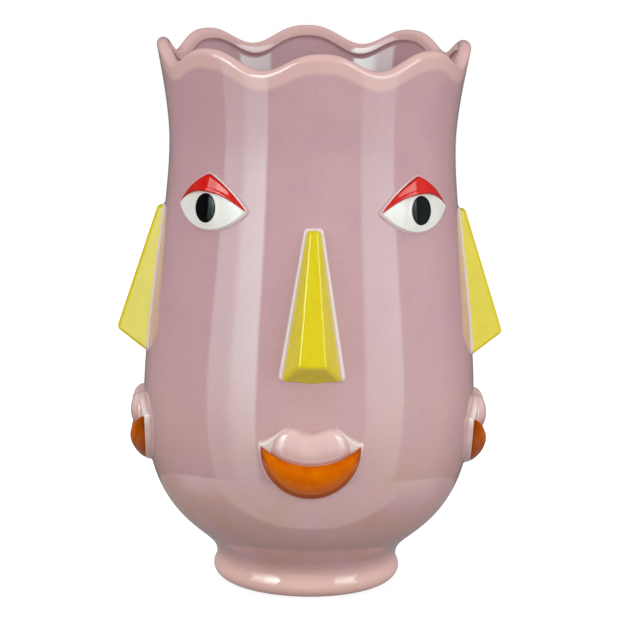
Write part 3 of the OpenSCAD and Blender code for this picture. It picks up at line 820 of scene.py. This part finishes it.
def eye_outline(upper, count=60):
    """Counterclockwise outline, under the eye and back along the upper line."""
    u = EYE_W / 2 * -np.cos(np.linspace(0, math.pi, count))
    below = np.stack([u, under_eye(u)], 1)
    above = np.stack([u[::-1], upper(u[::-1])], 1)[1:-1]
    return np.vstack([below, above])


def spread(outline, distance):
    """An outline moved outwards along its normals, softly around its corners."""
    run = np.roll(outline, -1, 0) - np.roll(outline, 1, 0)
    normal = np.stack([run[:, 1], -run[:, 0]], 1)
    normal /= np.linalg.norm(normal, axis=1)[:, None]
    for _ in range(3):
        normal = (np.roll(normal, 1, 0) + normal + np.roll(normal, -1, 0)) / 3
    normal /= np.linalg.norm(normal, axis=1)[:, None]
    return outline + distance * normal


print("an eye is %.1f mm wide and %.1f mm high with its lid"
      % (EYE_W, lid_high(0.0) - under_eye(0.0)))

# %% [markdown]
# ## Pad, dome and pupil
# The dome is a slice of a ball that leans back with the wall. Its edge turns
# down to the pad in a quarter round, where the tin glaze drew itself in. The
# pupil was painted in a socket, so its rim stands up in a soft bead of white
# and its own glaze swells to a low drop. Rings of points, one inside another,
# follow each of these forms.

# %% Shape the eye's pad, dome and pupil
EYE_LEAN = math.atan((wall_r(EYE_Z - EYE_DROP) - wall_r(EYE_Z + EYE_DROP)) / (2 * EYE_DROP))
EYE_PAD_BORDER, EYE_CENTRE_Z = 1.5, 197.5
EYE_SEAT = EYE_PAD_T - 0.3
BEAD_H, BEAD_AT, BEAD_W = 0.22, 0.55, 0.5
PUPIL_SINK, PUPIL_SWELL = -0.8, 0.96


def eye_pad_mesh():
    """Pad under the whole eye, which shows as a narrow border."""
    edge = eye_outline(lid_high)
    # The eye pad's pale mark is faint: thin glaze and a little painted highlight on its rim.
    section = [(0.0, -0.4, 0.0), (0.12, -0.1, 0.0), (0.35, 0.25, 0.05), (0.55, 0.6, 0.25),
               (0.75, 0.78, 0.35), (1.0, 0.8, 0.2)]
    return pad_mesh("eye_pad", spread(edge, EYE_PAD_BORDER), edge, np.array([0, EYE_Z]),
                    section)


def dome(flat, lift=0.0):
    """Points on the eyeball's dome, which leans back with the wall."""
    cy = -wall_r(EYE_Z) - EYEBALL_REACH + EYEBALL_R * math.cos(EYE_LEAN)
    cz = EYE_Z - EYEBALL_R * math.sin(EYE_LEAN)
    u, z = flat[:, 0], flat[:, 1]
    return np.stack([u, cy - np.sqrt((EYEBALL_R + lift) ** 2 - u**2 - (z - cz) ** 2), z], 1)


def eyeball_mesh():
    """White dome with a rounded edge and a bead round the pupil."""
    edge = eye_outline(lambda u: lid_low(u) + 0.7 * (1 - (u / (EYE_W / 2)) ** 2), 80)
    centre = np.array([0, EYE_CENTRE_Z])
    rings = [on_wall(centre + s * (edge - centre), EYE_SEAT) for s in (0.1, 0.4, 0.7)]
    for s in 1 - np.linspace(0, 1, 40)[:-1] ** 1.25 * 0.97:
        flat = centre + s * (edge - centre)
        seat = on_wall(flat, EYE_SEAT)
        turn = min(1.0, (1 - s) / 0.05)
        blend = math.sqrt(1 - (1 - turn) ** 2)
        from_pupil = np.hypot(flat[:, 0] / PUPIL_SLIMNESS, flat[:, 1] - PUPIL_Z) - PUPIL_D / 2
        bead = BEAD_H * np.exp(-((from_pupil - BEAD_AT) / BEAD_W) ** 2)
        ring = seat + blend * (dome(flat) - seat)
        ring[:, 1] -= bead * blend
        rings.append(ring)
    ends = [on_wall([centre], EYE_SEAT)[0], dome(np.array([centre]))[0]]
    return ring_mesh("eyeball", rings, ends[0], ends[1])


def pupil_mesh():
    """Black drop: (share of its radius, lift over the dome) from the back to the front."""
    a = np.linspace(0, 2 * math.pi, 97)[:-1]
    circle = np.stack([PUPIL_SLIMNESS * np.cos(a), np.sin(a)], 1)
    centre = np.array([0, PUPIL_Z])
    shape = [(0.3, PUPIL_SINK), (0.7, PUPIL_SINK), (1.0, PUPIL_SINK), (1.0, -0.1),
             (0.995, 0.05), (0.98, 0.16), (0.95, 0.28), (0.9, 0.4), (0.8, 0.58),
             (0.65, 0.76), (0.45, 0.88), (0.2, 0.95)]
    rings = [dome(centre + PUPIL_D / 2 * s * circle, lift) for s, lift in shape]
    ends = [dome(np.array([centre]), lift)[0] for lift in (PUPIL_SINK, PUPIL_SWELL)]
    return ring_mesh("pupil", rings, ends[0], ends[1])


set_out(eye_pad_mesh(), "eye_pad", CORNERS, CORNER_TURNS, MAUVE)
set_out(eyeball_mesh(), "eyeball", CORNERS, CORNER_TURNS, WHITE)
set_out(pupil_mesh(), "pupil", CORNERS, CORNER_TURNS, BLACK)

# %% [markdown]
# ## The eyelids
# A lid was pinched from a coil into a roof over the eye: a ridge in the
# middle, a steep lower edge, and two facets that run out to the corners. It
# could be cut from a block as the nose is, but its edges are curved. So it is
# lofted from corner to corner through sections that grow towards the ridge.

# %% Loft the eyelid
LID_SEAT = EYE_PAD_T - 0.15
RIDGE_SOFTNESS, RIDGE_LOSS, END_LOSS = 1.4, 1.0, 0.95
LID_FULLNESS = 0.75
# Share of the darkest shade up the lid's lower edge and down its back, partly glaze that pools
# there and partly painted shade.
POOLED_AND_SHADED_EDGE, POOLED_AND_SHADED_BACK = [0.9, 0.9, 0.8, 0.45, 0.1], [0.3, 0.6, 0.6]


def lid_section(u):
    """Closed section of the lid: up its front from the lower edge, and down its back."""
    fall = 1 - (math.sqrt(u**2 + RIDGE_SOFTNESS) - RIDGE_LOSS) / (EYE_W / 2 - END_LOSS)
    fall = max(fall, 0.0) ** LID_FULLNESS
    low, high = float(lid_low(u)), float(lid_high(u))
    span = high - low
    edge, top = fall * (LID_REACH - EYE_PAD_T), fall * (LID_PEAK_REACH - EYE_PAD_T)
    chamfer = min(1.1, 0.25 * span)
    front = [(low + 0.02 * span, 0.0), (low + 0.02 * span, 0.35 * edge),
             (low + 0.05 * span, 0.68 * edge), (low + 0.45 * chamfer, 0.86 * edge),
             (low + 0.85 * chamfer, 0.96 * edge), (low + 1.3 * chamfer, 0.985 * edge)]
    for t in np.linspace(0.2, 0.93, 9):
        z = low + 1.3 * chamfer + t * (span - 1.3 * chamfer)
        front.append((z, edge + (top - edge) * (z - low) / span * 1.02))
    front += [(high - 0.03 * span, 0.82 * top), (high, 0.5 * top), (high, 0.0)]
    ring = on_wall([(u, z) for z, _ in front], LID_SEAT)
    ring[:, 1] -= [out for _, out in front]
    return ring


def eyelid_mesh():
    """Lid through sections that stand closer together towards the corners."""
    half = EYE_W / 2
    stations = half * np.sin(np.linspace(-1, 1, 61)[1:-1] * math.pi / 2)
    tips = [on_wall([(side * half, EYE_Z)], LID_SEAT)[0] for side in (-1, 1)]
    rings = [lid_section(u) for u in stations]
    clear = len(rings[0]) - len(POOLED_AND_SHADED_EDGE) - len(POOLED_AND_SHADED_BACK)
    pooled = np.array(POOLED_AND_SHADED_EDGE + [0.0] * clear + POOLED_AND_SHADED_BACK)
    return ring_mesh("eyelid", rings, tips[0], tips[1], pooled_glaze=[pooled] * len(rings))


set_out(eyelid_mesh(), "eyelid", CORNERS, CORNER_TURNS, RED)

# %% [markdown]
# ## The mouths
# The lips are two soft rolls on a pad that follows their outline. The lower
# lip is a crescent between two arcs with upturned tips, and the upper lip has
# two bows with a dip between them. Arcs and cosine waves draw both, so the
# pad and the lips take their edges from the same lines.

# %% Outlines of the mouth
MOUTH_W, MOUTH_TIP_Z, CHIN_DROP, SMILE_DROP = 48.8, 88.6, 26.8, 9.0
UPPER_W, UPPER_H, BOW_DIP, LIP_GROOVE = 38.4, 17.8, 2.6, 0.1
UPPER_REACH, LOWER_REACH, MOUTH_PAD_T = 7.0, 8.6, 2.6
BOW_Z, BOW_U = MOUTH_TIP_Z - SMILE_DROP + UPPER_H, UPPER_W / 4


def mouth_arc(drop, s):
    """A point on an arc through both tips, for s from -1 to 1."""
    r = arc_radius(MOUTH_W, drop)
    a = s * 2 * math.atan(2 * drop / MOUTH_W)
    return np.array([r * math.sin(a), MOUTH_TIP_Z - drop + r * (1 - math.cos(a))])


def smile_z(u):
    """The line where the lips meet."""
    r = arc_radius(MOUTH_W, SMILE_DROP)
    return MOUTH_TIP_Z - SMILE_DROP + r - math.sqrt(r**2 - u**2)


LIP_END_Z = smile_z(UPPER_W / 2) + LIP_GROOVE


def bow_z(u):
    """Top edge of the upper lip."""
    if abs(u) < BOW_U:
        return BOW_Z - BOW_DIP * (1 + math.cos(math.pi * abs(u) / BOW_U)) / 2
    return LIP_END_Z + (BOW_Z - LIP_END_Z) * math.sqrt(max(0.0, 1 - (abs(u) / BOW_U - 1) ** 2))


def over_lips_z(u):
    """Line of the pad above the lips."""
    if abs(u) < BOW_U:
        return bow_z(u)
    t = (abs(u) - BOW_U) / (MOUTH_W / 2 - BOW_U)
    return MOUTH_TIP_Z + (BOW_Z - MOUTH_TIP_Z) * (1 + math.cos(math.pi * t)) / 2


print("a mouth is %.1f mm wide and %.1f mm high"
      % (MOUTH_W, BOW_Z - MOUTH_TIP_Z + CHIN_DROP))

# %% [markdown]
# The mouth's pad is thicker than the others, and its pale rim is widest at
# the corners of the mouth, where white slip shows, and thin along the bows.
# Along its rounded edge the pale mark also paints a highlight.

# %% Shape the mouth's pad
RIM_W, CORNER_EXTRA, BOW_LESS = 1.3, 1.2, 1.1
PALE_ALL_ROUND, PALE_AT_CORNERS, PALE_ON_TOP = 0.35, 0.65, 0.9


def mouth_pad_mesh():
    """Pad whose outline runs under the chin and back over the bows."""
    below = np.array([mouth_arc(CHIN_DROP, s) for s in -np.cos(np.linspace(0, math.pi, 80))])
    across = MOUTH_W / 2 * np.cos(np.linspace(0, math.pi, 80))[1:-1]
    above = np.array([(u, over_lips_z(u)) for u in across])
    edge = np.vstack([below, above])
    corner = smooth_step(edge[:, 1], MOUTH_TIP_Z - 6, MOUTH_TIP_Z + 1)
    bows = smooth_step(edge[:, 1], MOUTH_TIP_Z + 1, BOW_Z - 3)
    width = RIM_W + CORNER_EXTRA * corner - BOW_LESS * bows
    # Pale mark: white slip at the mouth's corners, and painted highlight along the pad's
    # rounded edge.
    pale_side = PALE_ALL_ROUND + PALE_AT_CORNERS * corner * smooth_step(abs(edge[:, 0]), 11, 17)
    section = [(0.0, -0.4, 0.0), (0.1, -0.1, 0.0), (0.25, 0.25, 0.1), (0.42, 0.8, 0.6),
               (0.55, 1.45, 1.0), (0.66, 2.1, 1.0), (0.76, 2.55, 1.0), (0.86, 2.75, 1.0),
               (1.0, 2.7, 1.0)]
    return pad_mesh("mouth_pad", spread(edge, width[:, None]), edge, np.array([0, 84.0]),
                    section, pale_side, PALE_ON_TOP)


set_out(mouth_pad_mesh(), "mouth_pad", SIDES, SIDE_TURNS, MAUVE)

# %% [markdown]
# A lip is a roll of clay, pressed on and smoothed. It could be a fat curve
# with a round section, but real lips are flat where they touch, and swell and
# shrink from end to end. So each is lofted: its section is a half round
# between two lines, highest a little off its middle. Where the two lips touch
# the glaze has filled the groove, so neither falls below half its height.

# %% Loft the lips
JOINED_SHARE = 0.5
ROLL_POINTS, ROUNDNESS, GLAZE_FILM = 25, 0.9, 0.4
CLEFT_W = 4.0
POOLED_AND_SHADED_LOW, POOLED_AND_SHADED_TIPS = 0.85, 0.8


def lip_mesh(name, low_line, high_line, reach, crown_share, tips, joined, cleft=0.0):
    """Roll between two lines, functions of s from -1 to 1, joined to the other lip on one."""
    rings, pooled = [], []
    end, beside = (-1, ROLL_POINTS) if joined == "high" else (0, 0)
    for s in np.sin(np.linspace(-1, 1, 73)[1:-1] * math.pi / 2):
        low, high = np.array(low_line(s)), np.array(high_line(s))
        crown = (reach - MOUTH_PAD_T) * math.sqrt(1 - s**4)
        a = np.linspace(0, math.pi, ROLL_POINTS)
        rise = ((1 - np.cos(a)) / 2) ** (math.log(crown_share) / math.log(0.5))
        flat = low + rise[:, None] * (high - low)
        roll = np.sin(a) ** ROUNDNESS
        touching = (rise > 0.5) == (joined == "high")
        roll = np.where(touching, np.maximum(roll, JOINED_SHARE), roll)
        hollow = cleft * np.exp(-(flat[:, 0] / CLEFT_W) ** 2) * rise**1.5
        out = crown * roll * (1 - hollow) + GLAZE_FILM * (roll > 0.05)
        flat, out = np.insert(flat, beside, flat[end], 0), np.insert(out, beside, 0.0)
        rise = np.insert(rise, beside, rise[end])
        ring = on_wall(flat, MOUTH_PAD_T - 0.4)
        ring[:, 1] -= out
        rings.append(ring)
        # Darker along the low edge and at the tips: partly glaze that pools there, partly
        # painted shade on the underside and in the creases.
        edges = POOLED_AND_SHADED_LOW * smooth_step(1 - rise, 0.35, 1.0)
        pooled.append(np.minimum(edges + POOLED_AND_SHADED_TIPS * smooth_step(abs(s), 0.72, 1.0), 1.0))
    ends = [on_wall([tip], MOUTH_PAD_T - 0.2)[0] for tip in tips]
    return ring_mesh(name, rings, ends[0], ends[1], pooled_glaze=pooled)


def upper_line(height):
    """A line across the upper lip, from a function that gives its height."""
    return lambda s: (UPPER_W / 2 * s, height(UPPER_W / 2 * s))


lower_lip = lip_mesh(
    "lower_lip", lambda s: mouth_arc(CHIN_DROP, s), lambda s: mouth_arc(SMILE_DROP, s),
    LOWER_REACH, 0.6, [mouth_arc(CHIN_DROP, -1), mouth_arc(CHIN_DROP, 1)], "high")
upper_lip = lip_mesh(
    "upper_lip", upper_line(lambda u: smile_z(u) + LIP_GROOVE), upper_line(bow_z),
    UPPER_REACH, 0.42, [(-UPPER_W / 2, LIP_END_Z), (UPPER_W / 2, LIP_END_Z)], "low", cleft=0.18)
set_out(lower_lip, "lower_lip", SIDES, SIDE_TURNS, ORANGE)
set_out(upper_lip, "upper_lip", SIDES, SIDE_TURNS, PINK)

# %% [markdown]
# ## Ground, studio and light
# A glossy pot shows two things at once: its own colour, lit softly from all
# sides, and a mirror image of the room. On a white cut-out photograph the
# room is a dull studio with tall bright panels at both sides, and these draw
# the upright bands on the wall. Shape and strength of each image matter, so
# the two are kept apart here. Soft lamps light the colour and leave no image,
# and a ring of studio walls is seen in the glaze and nowhere else.
#
# The ground is white to the eye, and pale in the glaze except close to the
# pot, where the pot itself takes its light. Two rings make it, because the
# far ground stays out of the glaze: a wide white floor would bleach the dark
# outline of a glossy pot.

# %% White ground in two flat rings
NEAR, FAR = 0.17, 6.0
GROUND_STEPS = 180
SHADED_GROUND, LIT_GROUND = 0.3, 1.15
FRONT_FROM, FRONT_TO = 0.0765, 0.0835
WHITE_GLOW = 0.8


def ground_material(name):
    """White to the camera, plain paper to soft light, as bright as its marks in the glaze."""
    material, tree = new_material(name)
    path = add(tree, "ShaderNodeLightPath").outputs
    seen = add(tree, "ShaderNodeMath",
               {0: path["Is Camera Ray"], 1: path["Is Transmission Ray"]},
               operation="ADD", use_clamp=True)
    paper = add(tree, "ShaderNodeBsdfDiffuse", {"Color": colour("A8A29E")})
    pale = add(tree, "ShaderNodeBsdfDiffuse", {"Color": colour("A0A0A0")})
    glow = add(tree, "ShaderNodeEmission",
               {"Color": colour("FFFFFF"), "Strength": WHITE_GLOW})
    white = add(tree, "ShaderNodeAddShader", {0: pale.outputs[0], 1: glow.outputs[0]})
    amount = add(tree, "ShaderNodeAttribute", attribute_name="brightness").outputs["Fac"]
    image = add(tree, "ShaderNodeEmission", {"Color": colour("FFFFFF"), "Strength": amount})
    either = add(tree, "ShaderNodeMixShader",
                 {0: seen.outputs[0], 1: paper.outputs[0], 2: white.outputs[0]})
    either = add(tree, "ShaderNodeMixShader",
                 {0: path["Is Glossy Ray"], 1: either.outputs[0], 2: image.outputs[0]})
    add(tree, "ShaderNodeOutputMaterial", {"Surface": either.outputs[0]})
    return material


def flat_ring(name, radii):
    """Ring of ground between the first and the last radius, marked with its brightness."""
    bearing = np.linspace(-math.pi, math.pi, GROUND_STEPS + 1)[:-1]
    turn, reach = np.meshgrid(bearing, radii, indexing="ij")
    x, y, rows = reach * np.sin(turn), -reach * np.cos(turn), len(radii)
    starts = [(k * rows, (k + 1) % GROUND_STEPS * rows) for k in range(GROUND_STEPS)]
    mesh = bpy.data.meshes.new(name)
    mesh.from_pydata([tuple(p) for p in np.stack([x.ravel(), y.ravel(), 0 * x.ravel()], 1)], [],
                     [(a + m, a + m + 1, b + m + 1, b + m) for a, b in starts
                      for m in range(rows - 1)])
    in_front = smooth_step(-y, FRONT_FROM, FRONT_TO)
    further = smooth_step(reach, 0.10, NEAR) * (1 - smooth_step(abs(np.degrees(turn)), 70, 105))
    lit = 1 - (1 - in_front) * (1 - further)
    mark_points(mesh, "brightness", SHADED_GROUND + LIT_GROUND * lit)
    mesh.materials.append(ground_material(name))
    ring = bpy.data.objects.new(name, mesh)
    bpy.context.scene.collection.objects.link(ring)
    return ring


flat_ring("ground_near_pot", np.concatenate([[0.0001, 0.03], np.linspace(0.05, NEAR, 60)]))
far_ground = flat_ring("ground_far", np.array([NEAR, 0.5, FAR]))
far_ground.visible_glossy = False
print("the glaze mirrors the ground out to %.2f m" % NEAR)

# %% [markdown]
# The sky is white where it is seen, directly or in the glaze, and gives a
# softer light to the colours. Light Path tells the two apart.

# %% White sky
SOFT_LIGHT = 0.55


def sky():
    """World that shines at full strength to the eye and at a share of it on surfaces."""
    world = bpy.data.worlds.new("studio_sky")
    world.use_nodes = True
    world.node_tree.nodes.clear()
    tree = world.node_tree
    path = add(tree, "ShaderNodeLightPath").outputs
    seen = path["Is Camera Ray"]
    for ray in ("Is Glossy Ray", "Is Transmission Ray"):
        seen = add(tree, "ShaderNodeMath", {0: seen, 1: path[ray]}, operation="ADD",
                   use_clamp=True).outputs[0]
    level = add(tree, "ShaderNodeMath", {0: seen, 1: 1 - SOFT_LIGHT, 2: SOFT_LIGHT},
                operation="MULTIPLY_ADD")
    white = add(tree, "ShaderNodeBackground",
                {"Color": colour("FFFFFF"), "Strength": level.outputs[0]})
    add(tree, "ShaderNodeOutputWorld", {"Surface": white.outputs[0]})
    return world


bpy.context.scene.world = sky()
print("sky lights the colours at", SOFT_LIGHT)

# %% [markdown]
# Each studio wall has a brightness for every bearing and height. It is the
# sum of a few panels, given as (from, to, brightness there and there, softness
# of both ends) in degrees to the right of the camera. The sharp ones are tall
# soft boxes, brightest above the pot and dim towards the floor, and the soft
# ones are the room. A dull ceiling closes the walls at the top.

# %% Studio walls that only the glaze sees
SOFT_BOXES = [(-72.5, -36, 2.5, 2.5, 1.5, 1.5), (-55, -36, 2.2, 3.2, 4, 1.5),
              (37, 65, 2.1, 2.9, 1.5, 1.5)]
ROOM = [(-36, 108, 0.3, 0.3, 8, 20), (10, 104, 0.25, 0.25, 12, 20)]
DULL_WALL = 0.1
WALL_DISTANCE, WALL_LOW, WALL_HIGH = 1.2, -2.0, 1.2
CEILING_REACH = [0.6, 0.01]
FADE_Z = [-2.0, -1.2, -0.7, -0.27, -0.14, -0.03, 0.12, 0.24, 0.36, 0.6, 0.9, 1.2]
FADE = [0.1, 0.16, 0.3, 0.43, 0.58, 0.72, 0.92, 1.0, 1.2, 2.2, 2.2, 0.0]


def panel_light(bearings, panels):
    """Brightness of all panels together at each bearing."""
    total = np.zeros(len(bearings))
    for start, end, first, last, soft_start, soft_end in panels:
        inside = smooth_step(bearings, start - soft_start, start + soft_start)
        inside *= 1 - smooth_step(bearings, end - soft_end, end + soft_end)
        total += inside * np.interp(bearings, [start, end], [first, last])
    return total


def studio_walls():
    """A tube of walls round the pot, marked with its brightness."""
    bearings = np.arange(-180, 180, 0.5)
    upright = np.linspace(WALL_LOW, WALL_HIGH, 97)
    heights = np.append(upright, [WALL_HIGH] * len(CEILING_REACH))
    reach = np.append([WALL_DISTANCE] * len(upright), CEILING_REACH)
    bright = np.outer(panel_light(bearings, SOFT_BOXES), np.interp(heights, FADE_Z, FADE))
    bright += DULL_WALL + np.outer(panel_light(bearings, ROOM), reach == WALL_DISTANCE)
    a, rows = np.radians(bearings), len(heights)
    starts = [(i * rows, (i + 1) % len(a) * rows) for i in range(len(a))]
    mesh = bpy.data.meshes.new("studio_walls")
    mesh.from_pydata([(r * math.sin(t), -r * math.cos(t), z) for t in a
                      for r, z in zip(reach, heights)], [],
                     [(i + j, i + j + 1, k + j + 1, k + j) for i, k in starts
                      for j in range(rows - 1)])
    mark_points(mesh, "brightness", bright)
    material, tree = new_material("studio_wall_light")
    amount = add(tree, "ShaderNodeAttribute", attribute_name="brightness").outputs["Fac"]
    light = add(tree, "ShaderNodeEmission", {"Color": colour("DDFFFB"), "Strength": amount})
    add(tree, "ShaderNodeOutputMaterial", {"Surface": light.outputs[0]})
    mesh.materials.append(material)
    walls = bpy.data.objects.new("studio_walls", mesh)
    bpy.context.scene.collection.objects.link(walls)
    walls.visible_camera = walls.visible_diffuse = False
    walls.visible_transmission = walls.visible_shadow = False
    return bright


print("brightest panel: %.1f" % studio_walls().max())

# %% [markdown]
# The lamps stand in a ring and one hangs above. Each is large and near, so
# its light is soft, and each is hidden from the glaze. The left and the right
# one are the strongest, as the panels on those sides are in the photograph.

# %% Soft lamps that leave no image in the glaze
LAMP_SIZE, POT_MIDDLE = 0.8, Vector((0, 0, 0.14))
LAMPS = [  # name, bearing, height, distance, share
    ("left_lamp", -60, 0.3, 1.2, 0.25), ("front_lamp", 0, 0.35, 1.2, 0.14),
    ("right_lamp", 50, 0.4, 1.2, 0.29), ("back_left_lamp", -125, 0.5, 1.2, 0.18),
    ("back_right_lamp", 130, 0.5, 1.2, 0.16), ("back_lamp", 180, 0.5, 1.2, 0.16),
    ("top_lamp", 0, 1.4, 0.3, 0.16),
]


def soft_lamp(name, bearing, height, distance, share):
    """Square lamp aimed at the pot, where share 1 shows a white surface facing it as white."""
    angle = math.radians(bearing)
    data = bpy.data.lights.new(name, "AREA")
    data.shape, data.size = "SQUARE", LAMP_SIZE
    lamp = bpy.data.objects.new(name, data)
    lamp.location = (distance * math.sin(angle), -distance * math.cos(angle), height)
    facing = POT_MIDDLE - lamp.location
    data.energy = 4 * math.pi * facing.length**2 * share
    lamp.rotation_euler = facing.to_track_quat("-Z", "Y").to_euler()
    lamp.visible_camera = lamp.visible_glossy = False
    bpy.context.scene.collection.objects.link(lamp)


for lamp_values in LAMPS:
    soft_lamp(*lamp_values)
print("lamps:", len(bpy.data.lights))

# %% [markdown]
# ## Camera
# The photograph was taken from about 1.4 m with a long lens, eleven degrees
# above the horizontal, and with the camera rolled by a little under a degree.
# These values were fitted to the outline, the rim and the foot. The bearing
# turns the view about the pot's axis, to where the front nose stands.

# %% Camera
CAMERA_DISTANCE, ELEVATION, ROLL = 1.4, 0.19501579, -0.01541352
BEARING = 0.05117328 - RIM_TURN
TARGET = Vector((0.0012841, 0.0, 0.138154))
FOCAL_PIXELS, FRAME_PIXELS, SENSOR = 2739.539, 625, 36.0

right = Vector((1, 0, 0))
up = Vector((0, math.sin(ELEVATION), math.cos(ELEVATION)))
back = Vector((0, -math.cos(ELEVATION), math.sin(ELEVATION)))
spot = TARGET + back * CAMERA_DISTANCE
rolled_right = right * math.cos(ROLL) - up * math.sin(ROLL)
rolled_up = right * math.sin(ROLL) + up * math.cos(ROLL)
turn_to_view = Matrix.Rotation(-BEARING, 4, "Z")
camera_data = bpy.data.cameras.new("camera")
camera_data.sensor_width = SENSOR
camera_data.lens = FOCAL_PIXELS * SENSOR / FRAME_PIXELS
camera_data.clip_start, camera_data.clip_end = 0.05, 50
camera = bpy.data.objects.new("camera", camera_data)
bpy.context.scene.collection.objects.link(camera)
camera.matrix_world = turn_to_view @ Matrix.Translation(spot) @ Matrix(
    (rolled_right, rolled_up, back)).transposed().to_4x4()
bpy.context.scene.camera = camera
bpy.context.scene.view_settings.view_transform = "Standard"
print("lens: %.1f mm" % camera_data.lens)

# %% [markdown]
# ## Bring the scene up to date

# %% Update the scene
bpy.context.view_layer.update()
